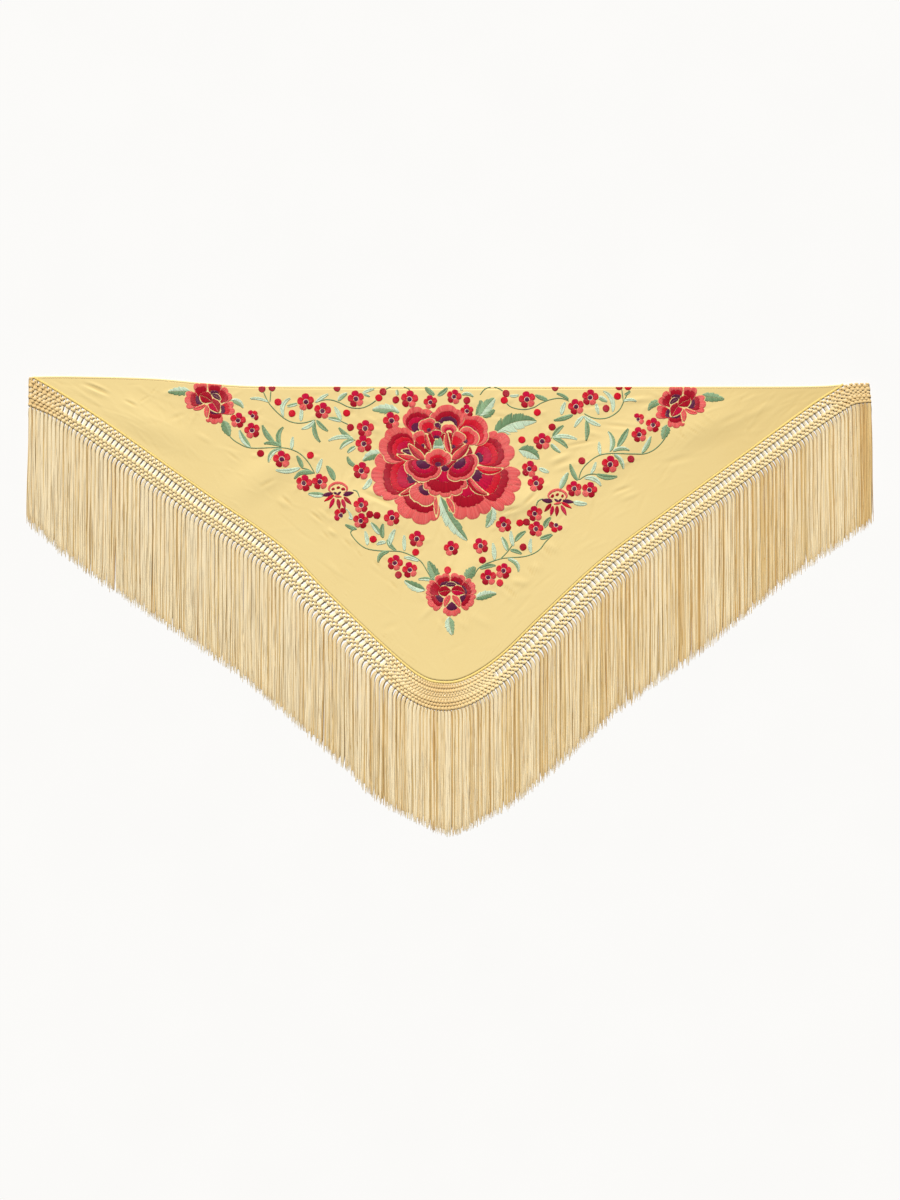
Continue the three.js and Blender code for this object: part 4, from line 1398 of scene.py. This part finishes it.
def cloth_mesh():
    """The crepe as a thin shell: a fine face, a coarser back and the cut edge between."""
    columns, rows = CLOTH_GRID
    ends = LOW_LINE[[0, -1], 0]
    x = np.repeat(np.linspace(*ends, columns)[:, None], rows, axis=1)
    share = np.linspace(0, 1, rows)[None]
    low, high = low_edge_y(x), top_edge_y(x) - TOP_HEM_WIDTH + HEM_LAP
    y = low + (high - low) * share
    face = np.stack([x, y, cloth_top(x, y)], axis=-1)
    back = face[::2, ::2].copy()
    back[..., 2] -= sizes().cloth_thickness * 1000
    back[..., 2] = np.maximum(back[..., 2], 0)
    points = np.concatenate([face.reshape(-1, 3), back.reshape(-1, 3)])
    base = columns * rows
    small = (columns // 2 + 1, rows // 2 + 1)
    quads = np.concatenate([grid_faces(columns, rows, False), grid_faces(*small, True, base)])
    top, under = edge_loop(columns, rows, 1), edge_loop(*small, 1) + base
    first, middle, last = top[0::2], top[1::2], np.roll(top[0::2], -1)
    after = np.roll(under, -1)
    walls = np.concatenate([
        np.stack([middle, first, under], axis=-1),
        np.stack([last, middle, after], axis=-1),
        np.stack([middle, under, after], axis=-1),
    ])
    loops = np.concatenate([quads.ravel(), walls.ravel()])
    lengths = np.concatenate([np.full(len(quads), 4), np.full(len(walls), 3)])
    return points, loops, np.concatenate([[0], np.cumsum(lengths)[:-1]])


class SHAWL_OT_cloth(bpy.types.Operator):
    """Lay the crepe triangle with its ripples and creases."""

    bl_idname = "shawl.cloth"
    bl_label = "Cloth"

    def execute(self, context):
        points, loops, starts = cloth_mesh()
        material = woven_crepe("Woven crepe", shade("crepe"), shade("crepe_warm"), WEAVE_MM)
        # Painted shade darkens the cloth in its hollows and toward its right end.
        painted_shade = painted_cloth_shade(points[:, 0], points[:, 1])
        panel = finish_mesh("cloth", points, loops, starts, painted_shade, material)
        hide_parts("cloth_panel")
        return {"FINISHED"}


class SHAWL_OT_hems(bpy.types.Operator):
    """Roll and overcast the hems of the three edges."""

    bl_idname = "shawl.hems"
    bl_label = "Hems"

    def execute(self, context):
        material = silk_thread("Overcast silk hem", 0.55, 0.2, HEM_STREAK_MM)
        rng = np.random.default_rng(21)
        middle = POINT_COLUMN + 0.5
        for name, first, last in (("hem_left", SIDE_HEM_FROM, middle - 0.03),
                                  ("hem_right", middle + 0.03, SIDE_HEM_TO)):
            made = self.side_hem(rng, first, last, material, "rolled_" + name)
            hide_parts(name)
        made = self.top_hem(rng, material)
        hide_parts("top_hem")
        return {"FINISHED"}

    def wraps(self, skein, rng, inner, outer, height):
        """Lay the roll as slanted wraps side by side, each a thread's width along."""
        share = np.array([0.0, 0.12, 0.4, 0.7, 0.92, 1.0])
        rise = np.array([0.35, 0.8, 1.0, 0.95, 0.7, 0.3]) * height
        flat = inner[:, None] * (1 - share)[None, :, None] + outer[:, None] * share[None, :, None]
        z = np.broadcast_to(rise, flat.shape[:2])
        paths = np.concatenate([flat, z[..., None]], axis=2)
        colours = vary(rng, shade("hem"), len(paths), 0.06)
        skein.lay(paths, 1.1, 0.24, 3, colours, HEM_PAINTED_SHADE)

    def side_hem(self, rng, first, last, material, name):
        skein = Skein()
        column = np.linspace(first, last, HEM_WRAPS)
        inner = inside_hem(np.clip(column + 0.12, first, last), SIDE_HEM_WIDTH - 0.2)
        outer = inside_hem(column, 0.35)
        self.wraps(skein, rng, inner, outer, 1.55)
        core = inside_hem(np.linspace(first, last, HEM_POINTS), SIDE_HEM_WIDTH / 2)
        z = np.full((len(core), 1), 0.85)
        path = np.concatenate([core, z], axis=1)[None]
        skein.lay(path, 2.2, 0.75, 6, shade("hem")[None])
        return skein.wind(name, material)

    def top_hem(self, rng, material):
        skein = Skein()
        x = np.linspace(TOP_HEM_FROM, TOP_HEM_TO, 700)
        core = np.stack([x, top_edge_y(x) - TOP_HEM_WIDTH / 2, np.full_like(x, 0.8)], axis=-1)
        skein.lay(core[None], TOP_HEM_WIDTH / 2, 0.5, 8, shade("crepe")[None] * 0.96)
        x = np.arange(TOP_HEM_FROM + 3, TOP_HEM_TO - 3, TOP_STITCH_PITCH)
        start = np.stack([x, top_edge_y(x) - 3.3], axis=-1)
        x_end = x + TOP_STITCH
        end = np.stack([x_end, top_edge_y(x_end) - 3.2], axis=-1)
        colours = vary(rng, shade("crepe"), len(x), 0.05)
        skein.satin(start, end, colours, 0.22, np.full((len(x), 2), 0.45))
        return skein.wind("top_edge_hem", material)


class SHAWL_OT_net(bpy.types.Operator):
    """Knot the net band of each sloping side."""

    bl_idname = "shawl.net"
    bl_label = "Net"

    def execute(self, context):
        material = silk_thread("Twisted silk cord", 0.5, 0.3, CORD_STREAK_MM)
        sides = (("net_left", FIRST_COLUMN, POINT_COLUMN),
                 ("net_right", POINT_COLUMN + 1, LAST_COLUMN))
        for seed, (name, first, last) in enumerate(sides):
            rng = np.random.default_rng(31 + seed)
            skein = Skein()
            columns = np.arange(first, last + 1)
            self.bunched_cords(skein, rng, columns)
            self.cords(skein, rng, columns)
            self.knots(skein, rng, columns)
            made = skein.wind("knotted_" + name, material)
            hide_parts(name)
        return {"FINISHED"}

    def tones(self, rng, columns):
        """Cord colours, more golden where the net bunches at the point and the corners."""
        bunched = bump((columns - POINT_COLUMN) / 16) + bump(columns / 14)
        bunched = bunched + bump((columns - LAST_COLUMN) / 12)
        mix = np.clip(bunched * 0.6 + rng.uniform(0, 0.25, len(columns)), 0, 1)[:, None]
        return shade("cord") * (1 - mix) + shade("cord_gold") * mix

    def pitch(self, columns, share):
        ahead = net_point(columns + 0.5, share)
        return np.linalg.norm(ahead - net_point(columns - 0.5, share), axis=-1)

    def bunched(self, at):
        """Where the net bunches at the point and the corners."""
        near_corner = (at < BUNCHED_AT_LEFT) | (at > LAST_COLUMN - BUNCHED_AT_RIGHT)
        return (np.abs(at - POINT_COLUMN) < BUNCHED_AT_POINT) | near_corner

    def bunched_cords(self, skein, rng, columns):
        """Flat cords that close the gaps where the net bunches, in a deeper gold that is painted
        shade, and thin them elsewhere.
        """
        bunched = self.bunched(columns)
        # Painted shade: the deeper gold under the bunched net stands for the shade in its gaps.
        deep = shade("cord_gold") * 0.8 + shade("silk_deep") * 0.2
        kinds = ((bunched, *BUNCHED_CORDS, deep), (~bunched, *THIN_CORDS, shade("silk_pale")))
        for some, first, last, part, colour in kinds:
            share = np.linspace(first, last, 7)
            at = columns[some][:, None] + np.zeros(7)
            flat = net_point(at, np.broadcast_to(share, at.shape))
            paths = np.concatenate([flat, np.full((*at.shape, 1), 0.45)], axis=2)
            colours = vary(rng, colour, len(at), 0.05)
            skein.lay(paths, self.pitch(at, share) * part, 0.3, 3, colours)

    def cords(self, skein, rng, columns):
        """Two cords to a column, crossing to their neighbours between the rows of knots."""
        rows = np.array(NET_PATH)
        share = rows[:, 0]
        half = sizes().cord_width * 500
        for hand in (-1, 1):
            at = np.broadcast_to(columns[:, None].astype(float), (len(columns), len(share)))
            own = half * 1.05 / self.pitch(at, share)
            out = 0.5 - own
            lateral = own + (out - own) * rows[:, 1]
            moved = np.clip(at + hand * lateral, FIRST_COLUMN, LAST_COLUMN)
            flat = net_point(moved, np.broadcast_to(share, at.shape))
            z = np.broadcast_to(rows[:, 2], at.shape) + hand * 0.12
            loose = bump((share - 0.46) / 0.3)[None, :, None]
            colours = self.tones(rng, columns)[:, None] * (1 - loose) + shade("silk_pale") * loose
            paths = np.concatenate([flat, z[..., None] - 0.24], axis=2)
            wide = half * (CORD_SPREAD + LOOSE_SPREAD * loose[..., 0])
            skein.lay(paths, wide, half * 0.8, 5, colours, CORD_PAINTED_SHADE, 0.7)

    def knots(self, skein, rng, columns):
        """Three slanting turns over each place where two cords meet."""
        for share, between, size, bunched in NET_KNOTS:
            at = columns + 0.5 * between
            kept = self.bunched(at) | (bunched == 0)
            at = at[(at <= LAST_COLUMN) & kept].astype(float)
            middle = net_point(at, np.full(len(at), share))
            down = column_direction(at)
            across = np.stack([-down[:, 1], down[:, 0]], axis=-1)
            room = np.minimum(self.pitch(at, share) * KNOT_REACH, KNOT_LIMIT) * size
            for turn in (-1, 0, 1):
                place = middle + down * (turn * TURN_STEP * size)
                steps = np.array([-1, -0.6, 0, 0.6, 1])
                lean = down[:, None] * (steps * TURN_LEAN * size)[None, :, None]
                flat = place[:, None] + across[:, None] * (steps * room[:, None])[..., None] + lean
                z = np.array([0.55, 1.75, 2.25, 1.75, 0.55]) * size + 0.25 - 0.25 * abs(turn)
                z = np.broadcast_to(z, flat.shape[:2])
                paths = np.concatenate([flat, z[..., None]], axis=2)
                tones = self.tones(rng, at)
                skein.lay(paths, TURN_WIDE * size, TURN_HIGH * size, 4, tones, CORD_PAINTED_SHADE)


class SHAWL_OT_fringe(bpy.types.Operator):
    """Hang the strands of combed silk from the last knots."""

    bl_idname = "shawl.fringe"
    bl_label = "Fringe"

    def execute(self, context):
        material = silk_thread("Combed silk floss", 0.42, 0.4, FLOSS_STREAK_MM)
        sides = (("fringe_left", FIRST_COLUMN, POINT_COLUMN),
                 ("fringe_right", POINT_COLUMN + 1, LAST_COLUMN))
        for seed, (name, first, last) in enumerate(sides):
            rng = np.random.default_rng(41 + seed)
            skein = Skein()
            self.strands(skein, rng, np.arange(first, last + 1).astype(float))
            made = skein.wind("combed_" + name, material)
            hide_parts(name)
        return {"FINISHED"}

    def middle_lines(self, rng, columns):
        """The line of each strand: out of its knot, round a bend and straight down."""
        foot, heading = foot_point(columns), column_direction(columns)
        root = foot + heading * 0.8
        bend = np.stack([foot[:, 0] + heading[:, 0] * STRAND_BEND_OUT,
                         foot[:, 1] - STRAND_BEND_DOWN], axis=-1)
        end_x = bend[:, 0] * STRAND_SPREAD
        end = np.stack([end_x, smooth(FRINGE_END, 1, end_x)], axis=-1)
        t = np.linspace(0, 1, BEND_POINTS)[None, :, None]
        pull = np.linalg.norm(bend - root, axis=1)[:, None, None]
        curve = (1 + 2 * t) * (1 - t) ** 2 * root[:, None] + t * t * (3 - 2 * t) * bend[:, None]
        curve = curve + t * (1 - t) ** 2 * pull * heading[:, None] * 1.3
        curve = curve + t * t * (t - 1) * pull * np.array([0.0, -1.3])
        fall = np.linspace(0, 1, FALL_POINTS)[1:][None, :, None]
        straight = bend[:, None] + (end - bend)[:, None] * fall
        sway = np.sin(fall * rng.uniform(2, 5, (len(columns), 1, 1)) + rng.uniform(0, 6))
        straight[..., :1] += sway * fall * rng.uniform(-2.2, 2.2, (len(columns), 1, 1))
        return np.concatenate([curve, straight], axis=1)

    def strands(self, skein, rng, columns):
        """A golden bed under each strand, its deeper gold painted shade between the threads, and
        its threads side by side over it.
        """
        lines = self.middle_lines(rng, columns)
        share = np.concatenate([np.linspace(0, BEND_SHARE, BEND_POINTS),
                                np.linspace(BEND_SHARE, 1, FALL_POINTS)[1:]])
        room = ROOT_ROOM + BEND_ROOM * np.clip(share / 0.2, 0, 1)
        room = room + END_ROOM * np.clip((share - 0.2) / 0.8, 0, 1)
        tone = rng.uniform(0, 1, len(lines))
        # Strands are paler to the left, deeper to the right and golden where they bunch.
        at_ends = 0.35 * bump((columns - LAST_COLUMN) / 5) + 0.3 * bump(columns / 3)
        at_ends = at_ends + 0.2 * np.clip(lines[:, 0, 0] / 500, -1.1, 0.65)
        self.bed(skein, rng, lines, share, room)
        along = unit(np.gradient(lines, axis=1))
        side = np.stack([-along[..., 1], along[..., 0]], axis=-1)
        threads = sizes().threads_per_strand
        for k in range(threads):
            spot = (k + 0.5) / threads * 2 - 1
            upper = 1 - spot * spot
            paths = self.thread_paths(rng, lines, side, share, spot * room, upper)
            # Painted highlight and shade: crown threads are made paler and flank threads deeper.
            mix = rng.normal(FLANK_DEPTH_AND_SHADE, THREAD_SPREAD, len(lines)) + STRAND_TONES * (tone - 0.5)
            mix = np.clip(mix - CROWN_PAINTED_HIGHLIGHT * upper + at_ends, 0.05, 1)
            wide = sizes().thread_width * 560 * np.where(share > 0.97, 0.45, 1.0)
            colours = self.floss_colours(mix)
            skein.lay(paths, wide[None], wide[None] * 0.6, 3, colours, FLOSS_PAINTED_SHADE)

    def bed(self, skein, rng, lines, share, room):
        """Lay one broad flat thread under each strand, pale at its root and deeper gold further
        down, where the gold is painted shade between the threads.
        """
        n, m = lines.shape[:2]
        bed = np.concatenate([lines, np.full((n, m, 1), BED_HEIGHT)], axis=2)
        bed[..., 1] += BED_SHORT * np.clip((share - 0.9) / 0.1, 0, 1)
        wide = room + BED_BEYOND + 0.9 * bump((share - 0.07) / 0.1)
        wide = wide * np.where(share > 0.97, 0.6, 1)
        # Painted shade: the bed's deeper gold stands for the shade between the threads.
        own = shade("silk_gold") * 0.5 + shade("silk_deep") * 0.5
        at_root = 0.75 * np.clip(1 - share / 0.22, 0, 1)[None, :, None]
        colours = vary(rng, own, n, 0.05)[:, None] * (1 - at_root)
        skein.lay(bed, wide[None], 0.3, 3, colours + shade("silk_pale") * at_root)

    def thread_paths(self, rng, lines, side, share, place, upper):
        """One thread of each strand, which wanders a little and ends near the floor."""
        n = len(lines)
        lateral = place[None] + rng.uniform(-0.35, 0.35, (n, 1))
        wander = rng.uniform(-1, 1, (n, 1)) * np.clip(share - 0.15, 0, 1)[None] ** 1.2 * 3.2
        ripple = np.sin(share[None] * rng.uniform(6, 16, (n, 1)) + rng.uniform(0, 6, (n, 1)))
        lateral = lateral + wander + ripple * 0.35 * np.clip(share * 4, 0, 1)
        flat = lines + side * lateral[..., None]
        flat[..., 1] -= rng.uniform(-7, 4, (n, 1)) * np.clip((share - 0.7) / 0.3, 0, 1)
        crown = upper * STRAND_CROWN * (1 - 0.4 * share)[None]
        z = LOW_THREADS + crown + rng.uniform(-0.1, 0.2, (n, 1))
        z = z + (END_HEIGHT - z) * np.clip((share - 0.86) / 0.14, 0, 1) ** 2
        return np.concatenate([flat, z[..., None]], axis=2)

    def floss_colours(self, mix):
        """Pale at none, golden at a half and deep at one."""
        pale, gold, deep = shade("silk_pale"), shade("silk_gold"), shade("silk_deep")
        colours = pale + (gold - pale) * np.clip(mix * 2, 0, 1)[:, None]
        return colours + (deep - gold) * np.clip(mix * 2 - 1, 0, 1)[:, None]


def embroidery_silk():
    return (bpy.data.materials.get("Embroidery silk")
            or silk_thread("Embroidery silk", 0.45, 0.06, SATIN_STREAK_MM))


class SHAWL_OT_peony(bpy.types.Operator):
    """Stitch the great peony in the middle of the cloth."""

    bl_idname = "shawl.peony"
    bl_label = "Peony"

    def execute(self, context):
        skein, rng = Skein(), np.random.default_rng(51)
        stitch_flower(skein, rng, peony_parts())
        skein.wind("peony", embroidery_silk())
        return {"FINISHED"}


class SHAWL_OT_flowers(bpy.types.Operator):
    """Stitch the corner, bottom, fan and small flowers and the berries."""

    bl_idname = "shawl.flowers"
    bl_label = "Flowers"

    def execute(self, context):
        skein, rng = Skein(), np.random.default_rng(61)
        for parts in composed_flowers():
            stitch_flower(skein, rng, parts)
        for x, y, facing in FAN_FLOWERS:
            stitch_flower(skein, rng, flower_parts([], [(0, 0, 90, 12, 84, 8, 1, "rim")], x, y))
            for x0, y0, x1, y1, width, name in FAN_STROKES:
                stitch_stroke(skein, rng, x + facing * x0, y + y0, x + facing * x1, y + y1,
                              width, name)
        skein.wind("composed_flowers", embroidery_silk())
        skein, rng = Skein(), np.random.default_rng(71)
        for row in SMALL_FLOWERS:
            stitch_small_flower(skein, rng, *row)
        for x, y in BERRIES:
            name = "red" if rng.random() < 0.4 else "crimson"
            stitch_disc(skein, rng, x, y, BERRY_RADIUS, name, rng.uniform(0, math.pi))
        skein.wind("small_flowers", embroidery_silk())
        return {"FINISHED"}


class SHAWL_OT_leaves(bpy.types.Operator):
    """Stitch the leaves and the vines that carry them."""

    bl_idname = "shawl.leaves"
    bl_label = "Leaves and vines"

    def execute(self, context):
        skein, rng = Skein(), np.random.default_rng(81)
        above = raised_motifs()
        for points in VINES:
            stitch_vine(skein, rng, points, above)
        pairs = {"mint": ("mint", "mint"), "sage": ("mint", "sage"),
                 "leaf_green": ("leaf_green", "sage")}
        for x0, y0, x1, y1, width, bend, tone in LEAVES:
            row = (x0, y0, x1, y1, width, bend, *pairs[tone])
            stitch_leaf(skein, rng, row, 0, above)
        for row in BROAD_LEAVES:
            stitch_leaf(skein, rng, row, LEAF_TEETH, above)
        skein.wind("leaves_and_vines", embroidery_silk())
        return {"FINISHED"}


class SHAWL_OT_stage(bpy.types.Operator):
    """Set the pale floor, the studio light and the camera straight above."""

    bl_idname = "shawl.stage"
    bl_label = "Stage"

    def execute(self, context):
        stage = context.scene.shawl_stage
        self.floor(stage)
        self.light(stage)
        self.camera(stage)
        context.scene.view_settings.view_transform = "Standard"
        return {"FINISHED"}

    def floor(self, stage):
        half = FLOOR_HALF
        mesh = bpy.data.meshes.new("floor")
        corners = [(-half, -half, 0), (half, -half, 0), (half, half, 0), (-half, half, 0)]
        mesh.from_pydata(corners, [], [(0, 1, 2, 3)])
        material, tree, shader = new_surface("Matt painted board")
        shader.inputs["Roughness"].default_value = 0.9
        place = add_node(tree, "ShaderNodeTexCoord").outputs["Object"]
        grain = add_node(tree, "ShaderNodeTexNoise", {"Scale": 6.0}, {"Vector": place})
        colour = np.array(stage.floor_colour[:])
        paint = add_node(tree, "ShaderNodeMix", {6: (*colour, 1), 7: (*(colour * 0.98), 1)},
                         {0: grain.outputs["Fac"]}, data_type="RGBA")
        tree.links.new(paint.outputs[2], shader.inputs["Base Color"])
        mesh.materials.append(material)
        floor = bpy.data.objects.new("floor", mesh)
        bpy.context.scene.collection.objects.link(floor)

    def light(self, stage):
        world = bpy.data.worlds.new("studio")
        world.use_nodes = True
        world.node_tree.nodes["Background"].inputs["Strength"].default_value = stage.fill
        bpy.context.scene.world = world
        key = bpy.data.lights.new("key", "SUN")
        key.energy = stage.key
        key.angle = math.radians(KEY_SOFTNESS)
        lamp = bpy.data.objects.new("key", key)
        lamp.rotation_euler = [math.radians(turn) for turn in KEY_TURN]
        bpy.context.scene.collection.objects.link(lamp)

    def camera(self, stage):
        data = bpy.data.cameras.new("camera")
        data.lens = stage.lens
        data.sensor_width = SENSOR_WIDTH
        data.clip_end = CAMERA_REACH
        camera = bpy.data.objects.new("camera", data)
        frame_height = PHOTO_HEIGHT * MM_PER_PIXEL / 1000
        middle = (at_pixel(*PHOTO_MIDDLE) + SHIFT[:2]) / 1000
        distance = frame_height * stage.lens / data.sensor_width
        camera.location = (middle[0], middle[1], distance)
        bpy.context.scene.collection.objects.link(camera)
        bpy.context.scene.camera = camera


class ShawlSizes(bpy.types.PropertyGroup):
    cloth_thickness: bpy.props.FloatProperty(
        name="Cloth thickness", description="Thickness of the crepe as built",
        default=0.0012, min=0.0005, max=0.003, precision=4, unit="LENGTH")
    stitch_spacing: bpy.props.FloatProperty(
        name="Stitch spacing", description="Distance between satin stitches",
        default=0.00125, min=0.0006, max=0.004, precision=5, unit="LENGTH")
    cord_width: bpy.props.FloatProperty(
        name="Cord width", description="Width of one cord of the net",
        default=0.0019, min=0.0008, max=0.003, precision=4, unit="LENGTH")
    thread_width: bpy.props.FloatProperty(
        name="Thread width", description="Width of one thread of the fringe",
        default=0.0013, min=0.0005, max=0.003, precision=4, unit="LENGTH")
    threads_per_strand: bpy.props.IntProperty(
        name="Threads in a strand", description="How many threads make one strand",
        default=11, min=3, max=14)


def shade_property(name):
    label = name.replace("_", " ").capitalize()
    return bpy.props.FloatVectorProperty(
        name=label, description=f"Colour of the {label.lower()}", subtype="COLOR",
        default=linear(SHADES[name]), min=0.0, max=1.0)


class ShawlColours(bpy.types.PropertyGroup):
    __annotations__ = {name: shade_property(name) for name in SHADES}


class ShawlStage(bpy.types.PropertyGroup):
    floor_colour: bpy.props.FloatVectorProperty(
        name="Floor", description="Colour of the floor", subtype="COLOR",
        default=linear(FLOOR_COLOUR), min=0.0, max=1.0)
    key: bpy.props.FloatProperty(
        name="Key light", description="Strength of the light from the top", default=4.8, min=0)
    fill: bpy.props.FloatProperty(
        name="Fill light", description="Strength of the light all round", default=1.0, min=0)
    lens: bpy.props.FloatProperty(
        name="Lens", description="Focal length in millimetres", default=85.0, min=20)


OPERATORS = (
    SHAWL_OT_cloth, SHAWL_OT_hems, SHAWL_OT_net, SHAWL_OT_fringe, SHAWL_OT_peony,
    SHAWL_OT_flowers, SHAWL_OT_leaves, SHAWL_OT_stage,
)


class SHAWL_PT_panel(bpy.types.Panel):
    """The steps that make the shawl, and its sizes and colours."""

    bl_idname = "SHAWL_PT_panel"
    bl_label = "Shawl"
    bl_space_type = "VIEW_3D"
    bl_region_type = "UI"
    bl_category = "Shawl"

    def draw(self, context):
        for group in ("shawl_sizes", "shawl_colours", "shawl_stage"):
            settings = getattr(context.scene, group)
            for name in settings.__annotations__:
                self.layout.prop(settings, name)
        for operator in OPERATORS:
            self.layout.operator(operator.bl_idname)


GROUPS = {"shawl_sizes": ShawlSizes, "shawl_colours": ShawlColours, "shawl_stage": ShawlStage}
CLASSES = (*GROUPS.values(), *OPERATORS, SHAWL_PT_panel)


def register():
    for item in CLASSES:
        bpy.utils.register_class(item)
    for name, group in GROUPS.items():
        setattr(bpy.types.Scene, name, bpy.props.PointerProperty(type=group))


def unregister():
    for name in GROUPS:
        delattr(bpy.types.Scene, name)
    for item in reversed(CLASSES):
        bpy.utils.unregister_class(item)


def main():
    register()
    bpy.ops.shawl.cloth()
    bpy.ops.shawl.hems()
    bpy.ops.shawl.net()
    bpy.ops.shawl.fringe()
    bpy.ops.shawl.peony()
    bpy.ops.shawl.flowers()
    bpy.ops.shawl.leaves()
    bpy.ops.shawl.stage()


if __name__ == "__main__":
    main()
